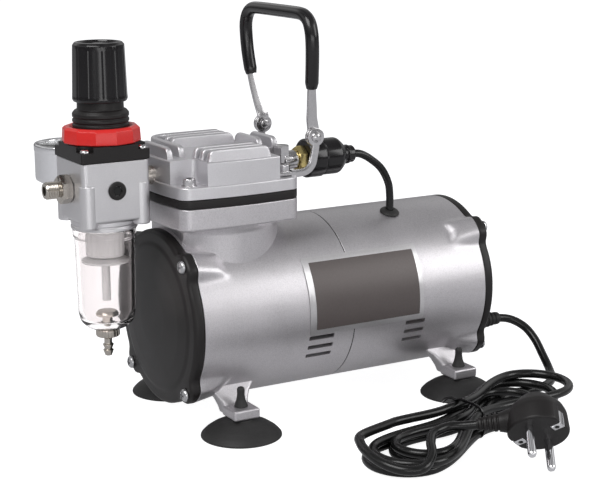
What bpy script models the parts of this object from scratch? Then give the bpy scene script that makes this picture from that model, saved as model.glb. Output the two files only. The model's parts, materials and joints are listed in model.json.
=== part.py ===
"""Small piston air compressor with motor, cylinder, filter regulator, carrying handle and mains lead.

Lengths are in millimetres and are scaled to metres as each mesh is made.
Axes before the final shift: X runs along the motor shaft to the rear, with 0 at the front joint
of the housing, Y = 0 is the shaft's plane, and Z = 0 is the surface under the suction feet.
"""
import math

import bmesh
import bpy
from mathutils import Matrix, Vector

MM = 0.001
GAP = 0.3                      # clearance left between neighbouring pieces
CENTRE_X = 64.65               # middle of the compressor along X, moved to the origin

# Motor housing
AXIS_Z = 62.0                  # shaft height above the feet
HOUSING_R = 50.0
WALL = 5.0
HOUSING_LEN = 188.0
SPLIT_X = 96.0                 # joint between the two halves
CRANKCASE_X = 50.0             # rear wall of the crankcase
FRONT_WEB = 8.0
REAR_WEB_X = 162.0
COVER_T = 6.0                  # front cover plate
COVER_DOME = 3.5
REAR_COVER_T = 11.5
EAR_OFFSET = 36.5              # screw ears, each way from the shaft
EAR_R = 6.4
EAR_LEN = 13.0
EAR_TIP = 6.0
VENT_ANGLES = (14.0, 21.0, 28.0)
VENT_H = 2.6
FRONT_VENT_X = (66.0, 82.5)
REAR_VENT_X = (131.5, 145.0)

# Feet
FOOT_X = (22.5, 171.0)
FOOT_Y = 47.0
PAD = 16.0
PAD_Z = (11.0, 17.0)
LEG_TOP_Z = 30.0
SUCKER_R = 22.9

# Cylinder and head
HEAD_X = 31.0
HEAD_HALF = 37.0
HEAD_BULGE = 2.0
HEAD_CORNER_R = 7.0
BARREL_R = 36.5
BARREL_FRONT_X = 1.2
FLANGE_Z = (117.0, 129.5)
PLATE_Z = (129.8, 134.3)
HEAD_BASE_Z = (134.6, 141.6)
HEAD_BLOCK_Z = 154.6
FIN_Z = 161.0
BOLT_X = 29.5
BOLT_Y = 30.0
BORE_R = 19.0
SLEEVE_R = 22.0
SLEEVE_Z = (96.0, 129.3)
STROKE = 14.0
PISTON_TOP_Z = 114.5

# Shaft line
SHAFT_R = 5.0
BEARING_R = 11.7
CRANK_X = 36.5
SHAFT_END_X = 188.0
STATOR_X = (106.0, 150.0)
ROTOR_R = 24.0

# Handle
PIVOT_X = 80.2
PIVOT_Z = 162.3
STRAP_Y = 29.8                 # middle of the strap's eye
STRAP_T = 1.8
STRAP_W = 4.8
EYE_R = 5.2
BRACKET_Y = 31.9
PIN_R = 1.7

# Pressure switch line along X
SWITCH_Y = -17.5
SWITCH_Z = 148.0
ELBOW_X = 66.0

# Regulator
REG_X = -36.5
REG_HALF = 19.7
REG_BODY_Z = (121.0, 156.7)
BONNET_Z = (157.0, 162.6)
TOWER_Z = 183.0
RING_Z = (165.8, 174.4)
KNOB_Z = (187.7, 220.0)
KNOB_ROOF_Z = 205.0            # clear of the screw's top when the knob is pushed down to lock
PORT_Z = 141.0
GAUGE_Y = 49.0
GAUGE_Z = (136.0, 158.5)
GAUGE_R = 20.0
BOWL_Z = (59.9, 117.6)

# Mains lead
CORD_R = 2.6
CORD_EXIT = (199.5, -18.0, 33.0)
GLAND_LEN = 22.0
HANK_CENTRE = (134.0, -110.5)
HANK_TURN = 20.0
HANK_HALF_LEN = 84.0
HANK_HALF_W = 27.0
HANK_WAIST = 16.0
HANK_H = 17.0
CORD_ROUTE = (
    (221.8, -18.0, 33.0),
    (225.5, -20.0, 31.6),
    (230.0, -26.5, 26.5),
    (233.0, -35.0, 18.5),
    (233.5, -43.5, 10.5),
    (230.5, -52.5, 5.0),
    (226.0, -61.0, 3.4),
    (222.2, -67.6, 3.3),
    (217.6, -71.6, 3.2),
    (213.4, -73.6, 3.2),
)
PLUG_AT = (134.4, -171.1, 18.5)
PLUG_TURN = (44.4, 30.4, 122.7)
PLUG_R = 16.5
RELIEF_TURN = 30.0             # from the plug's own X axis, about its pins' direction


# ---------------------------------------------------------------- scene and helpers

for old in list(bpy.data.objects):
    bpy.data.objects.remove(old, do_unlink=True)


def collection(name):
    made = bpy.data.collections.new(name)
    bpy.context.scene.collection.children.link(made)
    return made


PARTS = collection("air_compressor")
CUTTERS = collection("cutters")
ROOT = bpy.data.objects.new("compressor_frame", None)
ROOT.location = (-CENTRE_X * MM, 0.0, 0.0)
PARTS.objects.link(ROOT)


def material(name, colour, roughness, metallic=0.0, alpha=1.0):
    made = bpy.data.materials.new(name)
    made.use_nodes = True
    shader = made.node_tree.nodes["Principled BSDF"]
    shader.inputs["Base Color"].default_value = (*colour, 1.0)
    shader.inputs["Roughness"].default_value = roughness
    shader.inputs["Metallic"].default_value = metallic
    shader.inputs["Alpha"].default_value = alpha
    return made


PAINT = material("silver_paint", (0.52, 0.51, 0.53), 0.38, 0.6)
CAST = material("cast_aluminium", (0.66, 0.66, 0.68), 0.42, 0.8)
BLACK_PLASTIC = material("black_plastic", (0.02, 0.02, 0.022), 0.35)
GLOSS_BLACK = material("gloss_black_plastic", (0.012, 0.012, 0.013), 0.18)
RUBBER = material("black_rubber", (0.018, 0.018, 0.019), 0.6)
STEEL = material("machined_steel", (0.5, 0.5, 0.52), 0.3, 1.0)
CHROME = material("bright_zinc", (0.75, 0.75, 0.76), 0.15, 1.0)
BRASS = material("brass", (0.72, 0.55, 0.22), 0.25, 1.0)
NICKEL = material("nickel_plate", (0.62, 0.58, 0.5), 0.25, 1.0)
RED = material("red_plastic", (0.75, 0.03, 0.03), 0.35)
CLEAR = material("clear_polycarbonate", (0.85, 0.88, 0.9), 0.08, 0.0, 0.35)
WHITE = material("white_plastic", (0.8, 0.8, 0.8), 0.5)
COPPER = material("copper_winding", (0.5, 0.2, 0.08), 0.4, 0.9)
FOIL = material("plate_foil", (0.6, 0.6, 0.62), 0.35, 0.7)
CORD_BLACK = material("cord_pvc", (0.012, 0.012, 0.012), 0.3)


def finish_mesh(bm, name, mat, group, smooth):
    bmesh.ops.recalc_face_normals(bm, faces=bm.faces)
    mesh = bpy.data.meshes.new(name)
    bm.to_mesh(mesh)
    bm.free()
    obj = bpy.data.objects.new(name, mesh)
    if mat:
        mesh.materials.append(mat)
    if smooth:
        mesh.shade_smooth()
        mesh.set_sharp_from_angle(angle=math.radians(35.0))
    group.objects.link(obj)
    obj.parent = ROOT
    if group is CUTTERS:
        obj.hide_render = True
        obj.display_type = "WIRE"
    return obj


def place(obj, at, turn=(0.0, 0.0, 0.0)):
    obj.location = Vector(at) * MM
    obj.rotation_euler = [math.radians(a) for a in turn]
    return obj


ALONG = {"X": (0.0, 90.0, 0.0), "Y": (-90.0, 0.0, 0.0), "Z": (0.0, 0.0, 0.0)}


def box(name, low, high, mat=None, group=CUTTERS, bevel=0.0):
    """Block between two corners; the origin is at its middle."""
    size = [(b - a) * MM for a, b in zip(low, high)]
    bm = bmesh.new()
    bmesh.ops.create_cube(bm, size=1.0)
    bmesh.ops.scale(bm, vec=size, verts=bm.verts)
    obj = finish_mesh(bm, name, mat, group, False)
    if bevel:
        round_off = obj.modifiers.new("Bevel", "BEVEL")
        round_off.width = bevel * MM
        round_off.segments = 2
    return place(obj, [(a + b) / 2.0 for a, b in zip(low, high)])


def tapered_block(name, foot, head, z0, z1, group=CUTTERS):
    """Block whose top and bottom rectangles (x0, x1, y0, y1) differ."""
    bm = bmesh.new()
    bmesh.ops.create_cube(bm, size=1.0)
    for vert in bm.verts:
        x0, x1, y0, y1 = head if vert.co.z > 0 else foot
        vert.co.x = (x1 if vert.co.x > 0 else x0) * MM
        vert.co.y = (y1 if vert.co.y > 0 else y0) * MM
        vert.co.z = (z1 if vert.co.z > 0 else z0) * MM
    return finish_mesh(bm, name, None, group, False)


def rod(name, radius, start, length, axis="Z", mat=None, group=CUTTERS, sides=22, end_radius=None):
    """Cylinder or cone along an axis, from its start point; the origin is at the start."""
    bm = bmesh.new()
    bmesh.ops.create_cone(
        bm,
        cap_ends=True,
        segments=sides,
        radius1=radius * MM,
        radius2=(radius if end_radius is None else end_radius) * MM,
        depth=length * MM,
    )
    bmesh.ops.translate(bm, vec=(0.0, 0.0, length * MM / 2.0), verts=bm.verts)
    return place(finish_mesh(bm, name, mat, group, True), start, ALONG[axis])


def turned(name, profile, at, axis="Z", mat=None, group=PARTS, steps=22):
    """Solid of revolution from (radius, height) points that run down its outer side."""
    mesh = bpy.data.meshes.new(name)
    points = [(r * MM, 0.0, h * MM) for r, h in profile]
    edges = [(i, i + 1) for i in range(len(points) - 1)]
    if profile[0][0] > 0.0:
        edges.append((len(points) - 1, 0))
    mesh.from_pydata(points, edges, [])
    obj = bpy.data.objects.new(name, mesh)
    group.objects.link(obj)
    obj.parent = ROOT
    if group is CUTTERS:
        obj.hide_render = True
        obj.display_type = "WIRE"
    if mat:
        mesh.materials.append(mat)
    spin = obj.modifiers.new("Screw", "SCREW")
    spin.axis = "Z"
    spin.angle = 2.0 * math.pi
    spin.steps = steps
    spin.render_steps = steps
    spin.use_merge_vertices = True
    spin.merge_threshold = 0.00001
    spin.use_smooth_shade = True
    return place(obj, at, ALONG[axis])


def prism(name, outline, z0, z1, mat=None, group=CUTTERS, smooth=False):
    """Flat outline of (x, y) points, raised between two heights."""
    bm = bmesh.new()
    face = bm.faces.new([bm.verts.new((x * MM, y * MM, z0 * MM)) for x, y in outline])
    raised = bmesh.ops.extrude_face_region(bm, geom=[face])
    top = [v for v in raised["geom"] if isinstance(v, bmesh.types.BMVert)]
    bmesh.ops.translate(bm, vec=(0.0, 0.0, (z1 - z0) * MM), verts=top)
    return finish_mesh(bm, name, mat, group, smooth)


def loft(name, rings, mat=None, group=PARTS, smooth=True):
    """Closed solid through rings of points with the same count, capped at both ends."""
    bm = bmesh.new()
    rows = [[bm.verts.new(Vector(p) * MM) for p in ring] for ring in rings]
    for low, high in zip(rows, rows[1:]):
        for i in range(len(low)):
            j = (i + 1) % len(low)
            bm.faces.new((low[i], low[j], high[j], high[i]))
    bm.faces.new(rows[0])
    bm.faces.new(rows[-1])
    return finish_mesh(bm, name, mat, group, smooth)


def combine(obj, others, operation):
    for other in others:
        step = obj.modifiers.new(other.name, "BOOLEAN")
        step.operation = operation
        step.solver = "EXACT"
        step.object = other


def join(obj, *others):
    combine(obj, others, "UNION")


def cut(obj, *others):
    combine(obj, others, "DIFFERENCE")


def smooth_route(points, spacing):
    """Catmull-Rom curve through the route's points, read at an even spacing."""
    nodes = [Vector(p) for p in points]
    nodes = [2 * nodes[0] - nodes[1], *nodes, 2 * nodes[-1] - nodes[-2]]
    fine = []
    for a, b, c, d in zip(nodes, nodes[1:], nodes[2:], nodes[3:]):
        for step in range(20):
            t = step / 20.0
            fine.append(0.5 * (2 * b + (c - a) * t + (2 * a - 5 * b + 4 * c - d) * t**2
                               + (3 * b - a - 3 * c + d) * t**3))
    fine.append(nodes[-2])
    length = sum((q - p).length for p, q in zip(fine, fine[1:]))
    count = max(2, round(length / spacing))
    out = [fine[0]]
    walked = 0.0
    for p, q in zip(fine, fine[1:]):
        walked += (q - p).length
        if walked >= length * len(out) / count and len(out) < count:
            out.append(q)
    return out + [fine[-1]]


def tube(name, points, radius, mat, sides_level=2):
    """Round cord through points, as a curve with filled ends."""
    curve = bpy.data.curves.new(name, "CURVE")
    curve.dimensions = "3D"
    curve.bevel_depth = radius * MM
    curve.bevel_resolution = sides_level
    curve.render_resolution_u = 0
    curve.use_fill_caps = True
    line = curve.splines.new("POLY")
    line.points.add(len(points) - 1)
    for point, at in zip(line.points, points):
        point.co = (*(Vector(at) * MM), 1.0)
    curve.materials.append(mat)
    obj = bpy.data.objects.new(name, curve)
    PARTS.objects.link(obj)
    obj.parent = ROOT
    return obj


def ring_profile(outer, inner, z0, z1, edge=0.5):
    """Closed tube section with its outer edges broken."""
    return ((outer - edge, z1), (outer, z1 - edge), (outer, z0 + edge), (outer - edge, z0), (inner, z0),
            (inner, z1))


def arc(cx, cy, radius, start, end, count):
    """Points on an arc, angles in degrees."""
    angles = [math.radians(start + (end - start) * i / count) for i in range(count + 1)]
    return [(cx + radius * math.cos(a), cy + radius * math.sin(a)) for a in angles]


def head_outline(half=HEAD_HALF, bulge=HEAD_BULGE, corner=HEAD_CORNER_R):
    """Square with round corners and slightly bowed sides, centred on the cylinder."""
    points = []
    for quarter in range(4):
        turn = Matrix.Rotation(math.radians(90.0 * quarter), 2)
        flat = half - corner
        side = [(half + bulge * (1.0 - (y / flat) ** 2), y) for y in (-0.6 * flat, 0.0, 0.6 * flat)]
        for point in side + arc(flat, flat, corner, 0.0, 90.0, 4):
            x, y = turn @ Vector(point)
            points.append((HEAD_X + x, y))
    return points


def ear_spots(signs=((-1, 1), (-1, -1), (1, -1), (1, 1))):
    return [(sy * EAR_OFFSET, AXIS_Z + sz * EAR_OFFSET) for sy, sz in signs]


# ---------------------------------------------------------------- motor housing

def ear_pillars(x_start, x_end, tag):
    """Round screw pillars that fade into the housing; x_start is the joint face."""
    sense = 1.0 if x_end > x_start else -1.0
    made = []
    for n, (y, z) in enumerate(ear_spots(), 1):
        low = min(x_start, x_start + sense * EAR_LEN)
        made.append(rod(f"{tag}_pillar_{n}", EAR_R, (low, y, z), EAR_LEN, "X", sides=14))
        tip = (x_start + sense * EAR_LEN, y, z) if sense > 0 else (x_start - EAR_LEN - EAR_TIP, y, z)
        wide, thin = (EAR_R, 1.5) if sense > 0 else (1.5, EAR_R)
        made.append(rod(f"{tag}_tip_{n}", wide, tip, EAR_TIP, "X", sides=14, end_radius=thin))
    return made


def legs(foot_x, spread, tag):
    """Cast legs on both sides, each with the pad that the suction foot hangs from."""
    made = []
    half = PAD / 2.0
    for side, sign in (("near", -1), ("far", 1)):
        inner = sorted((sign * 33.0, sign * 45.0))
        outer = sorted((sign * 18.0, sign * 38.0))
        made.append(tapered_block(f"{tag}_leg_{side}", (foot_x - half, foot_x + half, *inner),
                                  (*spread, *outer), PAD_Z[0], LEG_TOP_Z))
        pad_y = sorted((sign * (FOOT_Y - half), sign * (FOOT_Y + half)))
        made.append(box(f"{tag}_pad_{side}", (foot_x - half, pad_y[0], PAD_Z[0]),
                        (foot_x + half, pad_y[1], PAD_Z[1]), bevel=0.8))
    return made


def vents(x_range, tag):
    """Slots through the wall on both sides, cut square to the wall."""
    made = []
    for side, sign in (("near", -1), ("far", 1)):
        for n, angle in enumerate(VENT_ANGLES, 1):
            slot = box(f"{tag}_vent_{side}_{n}", (x_range[0], -5.0, -VENT_H / 2.0),
                       (x_range[1], 5.0, VENT_H / 2.0))
            tilt = math.radians(angle)
            reach = HOUSING_R - 1.0
            place(slot, (sum(x_range) / 2.0, sign * reach * math.cos(tilt),
                         AXIS_Z - reach * math.sin(tilt)),
                  (-sign * angle, 0.0, 0.0))
            made.append(slot)
    return made


def screw_holes(x_start, depth, tag):
    return [rod(f"{tag}_hole_{n}", 2.3, (x_start, y, z), depth, "X", sides=8)
            for n, (y, z) in enumerate(ear_spots(), 1)]


def foot_holes(foot_x, tag):
    return [rod(f"{tag}_foot_hole_{n}", 3.4, (foot_x, sign * FOOT_Y, PAD_Z[0] - 1.0), 10.0, sides=10)
            for n, sign in enumerate((-1, 1), 1)]


def barrel_outline():
    """Cylinder barrel seen from above, flat where the front cover seats."""
    reach = math.degrees(math.acos((HEAD_X - BARREL_FRONT_X) / BARREL_R))
    return arc(HEAD_X, 0.0, BARREL_R, -180.0 + reach, 180.0 - reach, 32)


def head_bolt_spots():
    return [(HEAD_X - BOLT_X, -BOLT_Y), (HEAD_X + BOLT_X, -BOLT_Y), (HEAD_X + BOLT_X, BOLT_Y),
            (HEAD_X - BOLT_X, BOLT_Y)]


def bolt_holes(z0, z1, tag, radius=2.3):
    return [rod(f"{tag}_bolt_hole_{n}", radius, (x, y, z0), z1 - z0, sides=8)
            for n, (x, y) in enumerate(head_bolt_spots(), 1)]


def front_housing():
    body = rod("front_housing", HOUSING_R, (0.0, 0.0, AXIS_Z), SPLIT_X - GAP / 2.0, "X", PAINT, PARTS, 48)
    join(body, prism("barrel", barrel_outline(), AXIS_Z + 5.0, FLANGE_Z[0] + 0.5))
    join(body, prism("barrel_flange", head_outline(), *FLANGE_Z))
    join(body, *ear_pillars(0.0, 1.0, "front"))
    join(body, *legs(FOOT_X[0], (5.0, 41.0), "front"))
    cut(body, rod("crankcase", HOUSING_R - WALL, (-1.0, 0.0, AXIS_Z), CRANKCASE_X + 1.0, "X", sides=32))
    motor_x = CRANKCASE_X + FRONT_WEB
    cut(body, rod("motor_bore", HOUSING_R - WALL, (motor_x, 0.0, AXIS_Z), SPLIT_X - motor_x + 1.0, "X",
                  sides=32))
    cut(body, rod("front_bearing_seat", BEARING_R + GAP, (CRANKCASE_X - 1.0, 0.0, AXIS_Z), FRONT_WEB + 2.0,
                  "X"))
    cut(body, rod("sleeve_seat", SLEEVE_R + GAP, (HEAD_X, 0.0, 85.0), 50.0, sides=26))
    cut(body, *bolt_holes(118.0, 131.0, "flange"))
    cut(body, *screw_holes(-1.0, 13.0, "front"))
    cut(body, *foot_holes(FOOT_X[0], "front"))
    cut(body, *vents(FRONT_VENT_X, "front"))


def rear_housing():
    start = SPLIT_X + GAP / 2.0
    body = rod("rear_housing", HOUSING_R, (start, 0.0, AXIS_Z), HOUSING_LEN - start, "X", PAINT, PARTS, 48)
    join(body, *ear_pillars(HOUSING_LEN, HOUSING_LEN - 1.0, "rear"))
    join(body, *legs(FOOT_X[1], (151.0, 187.0), "rear"))
    cut(body, rod("stator_bore", HOUSING_R - WALL, (SPLIT_X - 1.0, 0.0, AXIS_Z),
                  REAR_WEB_X - SPLIT_X + 1.0, "X", sides=32))
    fan_x = REAR_WEB_X + FRONT_WEB
    cut(body, rod("fan_bore", HOUSING_R - WALL, (fan_x, 0.0, AXIS_Z), 30.0, "X", sides=32))
    cut(body, rod("rear_bearing_seat", BEARING_R + GAP, (REAR_WEB_X - 1.0, 0.0, AXIS_Z), FRONT_WEB + 2.0,
                  "X"))
    for n in range(6):
        turn = math.radians(60.0 * n + 30.0)
        spot = (REAR_WEB_X - 1.0, 28.0 * math.cos(turn), AXIS_Z + 28.0 * math.sin(turn))
        cut(body, rod(f"air_hole_{n}", 6.0, spot, FRONT_WEB + 2.0, "X", sides=10))
    cut(body, *screw_holes(HOUSING_LEN - 12.0, 13.0, "rear"))
    cut(body, *foot_holes(FOOT_X[1], "rear"))
    cut(body, *vents(REAR_VENT_X, "rear"))
    cut(body, grommet_bore())


def front_cover():
    face = -GAP - COVER_T
    disc = ((0.0, COVER_T + COVER_DOME), (16.0, COVER_T + 3.1), (32.0, COVER_T + 2.1),
            (42.0, COVER_T + 0.9),
            (45.0, COVER_T), (48.6, COVER_T), (HOUSING_R, COVER_T - 1.4), (HOUSING_R, 0.0), (0.0, 0.0))
    cover = turned("front_cover", disc, (-GAP, 0.0, AXIS_Z), "X", BLACK_PLASTIC, steps=44)
    cover.rotation_euler = (0.0, math.radians(-90.0), 0.0)
    for n, (y, z) in enumerate(ear_spots(), 1):
        join(cover, rod(f"front_ear_{n}", EAR_R, (face, y, z), COVER_T, "X", sides=14))
    cut(cover, *screw_holes(face - 1.0, COVER_T + 2.0, "front_cover"))
    cut(cover, rod("front_cover_relief", 40.0, (face + 3.5, 0.0, AXIS_Z), 10.0, "X", sides=26))


def rear_cover():
    start = HOUSING_LEN + GAP
    back = start + REAR_COVER_T
    shell = ((0.0, REAR_COVER_T), (38.0, REAR_COVER_T), (45.0, REAR_COVER_T - 1.2),
             (48.8, REAR_COVER_T - 4.0),
             (HOUSING_R, REAR_COVER_T - 7.5), (HOUSING_R, 0.0), (44.0, 0.0), (44.0, REAR_COVER_T - 4.5),
             (0.0, REAR_COVER_T - 4.5))
    cover = turned("rear_cover", shell, (start, 0.0, AXIS_Z), "X", BLACK_PLASTIC, steps=44)
    for n, (y, z) in enumerate(ear_spots(), 1):
        join(cover, rod(f"rear_ear_{n}", EAR_R, (start, y, z), COVER_T, "X", sides=14))
    cut(cover, *screw_holes(start - 1.0, COVER_T + 8.0, "rear_cover"))
    cut(cover, rod("gland_hole", 4.4, (start, *CORD_EXIT[1:]), 20.0, "X", sides=12))
    cut(cover, box("rocker_window", (start, 8.0, 44.0), (back + 1.0, 21.0, 64.0)))


def cover_screws():
    head = ((0.0, 2.4), (2.2, 2.3), (3.5, 1.4), (3.8, 0.0), (1.9, 0.0), (1.9, -14.0), (0.0, -14.0))
    for n, (y, z) in enumerate(ear_spots(), 1):
        screw = turned(f"front_cover_screw_{n}", head, (-2 * GAP - COVER_T, y, z), "X", STEEL, steps=12)
        screw.rotation_euler = (0.0, math.radians(-90.0), 0.0)


def rating_plate():
    """Thin curved plate stuck across the housing joint on the near side."""
    bm = bmesh.new()
    line = []
    for x in (66.0, 143.0):
        row = []
        for step in range(13):
            angle = math.radians(-11.5 + 52.0 * step / 12.0)
            reach = (HOUSING_R + 0.35) * MM
            row.append(bm.verts.new((x * MM, -reach * math.cos(angle),
                                     AXIS_Z * MM + reach * math.sin(angle))))
        line.append(row)
    for i in range(12):
        bm.faces.new((line[0][i], line[1][i], line[1][i + 1], line[0][i + 1]))
    plate = finish_mesh(bm, "rating_plate", FOIL, PARTS, True)
    for face in plate.data.polygons:
        outward = face.normal.y * face.center.y + face.normal.z * (face.center.z - AXIS_Z * MM)
        if outward < 0:
            plate.data.flip_normals()
        break
    thick = plate.modifiers.new("Solidify", "SOLIDIFY")
    thick.thickness = 0.4 * MM
    thick.offset = 1.0


def suction_feet():
    """Shallow rubber cup, a stem through the pad, and the pull-through nub above it."""
    cup = ((0.0, 28.4), (2.0, 27.6), (2.3, 22.0), (3.9, PAD_Z[1] + GAP), (2.9, PAD_Z[1] + GAP),
           (2.9, PAD_Z[0] - GAP),
           (8.0, PAD_Z[0] - GAP), (14.0, 7.6), (19.0, 4.7), (SUCKER_R, 1.2), (SUCKER_R, 0.0), (18.0, 0.0),
           (10.0, 4.0),
           (0.0, 4.8))
    for x, end in zip(FOOT_X, ("front", "rear")):
        for sign, side in ((-1, "near"), (1, "far")):
            turned(f"suction_foot_{end}_{side}", cup, (x, sign * FOOT_Y, 0.0), "Z", RUBBER, steps=18)


# ---------------------------------------------------------------- cylinder, head and drive

def cylinder_sleeve():
    turned("cylinder_sleeve", ring_profile(SLEEVE_R, BORE_R, *SLEEVE_Z), (HEAD_X, 0.0, 0.0), "Z", STEEL,
           steps=26)


def valve_plate():
    plate = prism("valve_plate", head_outline(), *PLATE_Z, mat=BLACK_PLASTIC, group=PARTS)
    cut(plate, *bolt_holes(128.0, 136.0, "plate"))
    for n, y in enumerate((-9.0, 9.0), 1):
        cut(plate, rod(f"valve_port_{n}", 4.0, (HEAD_X, y, 128.0), 8.0, sides=12))


def fin(name, low, high):
    return box(name, (*low, HEAD_BLOCK_Z - 0.6), (*high, FIN_Z))


def head_fins():
    """Straight ribs along both sides, and shorter cross ribs at the front and rear."""
    made = []
    for n in range(3):
        y = 33.6 - 7.6 * n
        for side, sign in (("near", -1), ("far", 1)):
            low, high = sorted((sign * (y - 2.4), sign * (y + 2.4)))
            made.append(fin(f"{side}_fin_{n}", (9.8, low), (53.8, high)))
    for n, (x, y0, y1) in enumerate(((-3.0, -16.0, 19.0), (6.0, -12.5, 19.0), (56.0, -11.0, 18.0),
                                     (65.6, -11.0, 18.0))):
        made.append(fin(f"cross_fin_{n}", (x - 1.5, y0), (x + 1.5, y1)))
    return made


def cylinder_head():
    head = prism("cylinder_head", head_outline(), *HEAD_BASE_Z, mat=CAST, group=PARTS)
    block = prism("head_block", head_outline(HEAD_HALF - 0.8), HEAD_BASE_Z[0] + 2.0, HEAD_BLOCK_Z)
    floor = HEAD_BASE_Z[1]
    top = HEAD_BLOCK_Z + 1.0
    cut(block, box("pocket_front_near", (-12.0, -42.0, floor), (9.4, -22.0, top)))
    cut(block, box("pocket_front_far", (-12.0, 22.0, floor), (9.4, 42.0, top)))
    cut(block, box("pocket_rear_near", (54.4, -42.0, floor), (72.0, -11.6, top)))
    cut(block, box("pocket_rear_far", (54.4, 22.0, floor), (72.0, 42.0, top)))
    join(head, block, *head_fins())
    cut(head, box("suction_chamber", (12.0, -20.0, 130.0), (50.0, -2.0, 149.0)))
    cut(head, box("discharge_chamber", (12.0, 2.0, 130.0), (50.0, 20.0, 149.0)))
    cut(head, rod("discharge_port", 4.9, (-12.0, 0.0, PORT_Z + 5.0), 17.0, "X", sides=12))
    cut(head, *bolt_holes(130.0, 150.0, "head"))


def head_bolts():
    """Socket-head screws; the rear pair also holds the handle brackets."""
    cap = ((1.5, 4.0), (3.2, 4.0), (3.5, 3.7), (3.5, 0.0), (2.0, 0.0), (2.0, -21.0), (0.0, -21.0),
           (0.0, 1.6), (1.5, 1.6))
    for n, (x, y) in enumerate(head_bolt_spots(), 1):
        lift = 2.5 if x > HEAD_X else 0.0
        points = [(r, h - lift if h == -21.0 else h) for r, h in cap]
        turned_cap(f"head_bolt_{n}", points, (x, y, HEAD_BASE_Z[1] + GAP + lift))


def turned_cap(name, points, at):
    """Screw with a socket in its top: the profile starts at the socket's floor on the axis."""
    start = points.index((0.0, 1.6))
    ordered = [points[start], *points[start + 1:], *points[:start]]
    turned(name, ordered, at, "Z", CHROME, steps=12)


def shaft_line():
    web = 4.0
    front = CRANK_X + web + GAP
    turned("motor_shaft", ((0.0, SHAFT_END_X - front), (SHAFT_R - 0.6, SHAFT_END_X - front),
                           (SHAFT_R, SHAFT_END_X - front - 0.6), (SHAFT_R, 0.4), (SHAFT_R - 0.4, 0.0),
                           (0.0, 0.0)),
           (front, 0.0, AXIS_Z), "X", STEEL, steps=16)
    collar = SHAFT_R + GAP
    section = ((collar, 8.0), (16.0, 8.0), (17.0, 7.0), (17.0, 1.0), (16.0, 0.0), (0.0, 0.0), (0.0, web),
               (collar, web))
    disc = turned("crank_disc", section, (CRANK_X, 0.0, AXIS_Z), "X", STEEL, steps=22)
    join(disc, rod("crank_pin", 3.5, (CRANK_X - 1.6, 0.0, AXIS_Z - STROKE / 2.0), 3.0, "X", sides=12))
    turned("rotor_core", ring_profile(ROTOR_R, SHAFT_R + GAP, 0.0, 46.0), (105.0, 0.0, AXIS_Z), "X", STEEL,
           steps=24)
    turned("front_bearing", ring_profile(BEARING_R, SHAFT_R + GAP, 0.0, 7.4),
           (CRANKCASE_X + GAP, 0.0, AXIS_Z), "X", STEEL, steps=18)
    turned("rear_bearing", ring_profile(BEARING_R, SHAFT_R + GAP, 0.0, 7.4),
           (REAR_WEB_X + GAP, 0.0, AXIS_Z), "X", STEEL, steps=18)
    winding = ((36.0, 52.0), (40.0, 50.0), (41.0, 44.0), (44.6, 44.0), (44.6, 0.0), (41.0, 0.0),
               (40.0, -6.0), (36.0, -8.0),
               (29.0, -8.0), (27.0, -5.0), (25.0, 0.0), (25.0, 44.0), (27.0, 49.0), (29.0, 52.0))
    turned("stator", winding, (STATOR_X[0], 0.0, AXIS_Z), "X", COPPER, steps=26)


def cooling_fan():
    hub = turned("cooling_fan", ring_profile(10.0, SHAFT_R + GAP, 0.0, 9.0), (174.0, 0.0, AXIS_Z), "X",
                 BLACK_PLASTIC, steps=16)
    for n in range(8):
        blade = box(f"fan_blade_{n}", (-4.0, 8.0, -0.8), (4.0, 39.0, 0.8))
        turn = Matrix.Rotation(math.radians(45.0 * n), 4, "X")
        pitch = Matrix.Rotation(math.radians(28.0), 4, "Y")
        blade.matrix_local = (Matrix.Translation(Vector((178.5, 0.0, AXIS_Z)) * MM) @ turn
                              @ Matrix.Translation(Vector((0.0, 23.5, 0.0)) * MM) @ pitch)
        join(hub, blade)


def piston_rod():
    """Wobble piston: crown, rod and big end in one piece, at the bottom of its stroke."""
    top = PISTON_TOP_Z
    crown = ((0.0, top), (17.6, top), (18.5, top - 1.0), (18.5, top - 5.0), (17.0, top - 6.0),
             (0.0, top - 6.0))
    piston = turned("piston_rod", crown, (HEAD_X, 0.0, 0.0), "Z", CAST, steps=24)
    eye_z = AXIS_Z - STROKE / 2.0
    join(piston, box("rod_shank", (HEAD_X - 3.5, -6.0, eye_z + 6.0), (HEAD_X + 2.5, 6.0, top - 5.0)))
    join(piston, rod("big_end", 11.0, (HEAD_X - 4.0, 0.0, eye_z), 7.0, "X", sides=22))
    cut(piston, rod("big_end_bore", 6.0, (HEAD_X - 6.0, 0.0, eye_z), 12.0, "X", sides=14))


# ---------------------------------------------------------------- carrying handle

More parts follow.
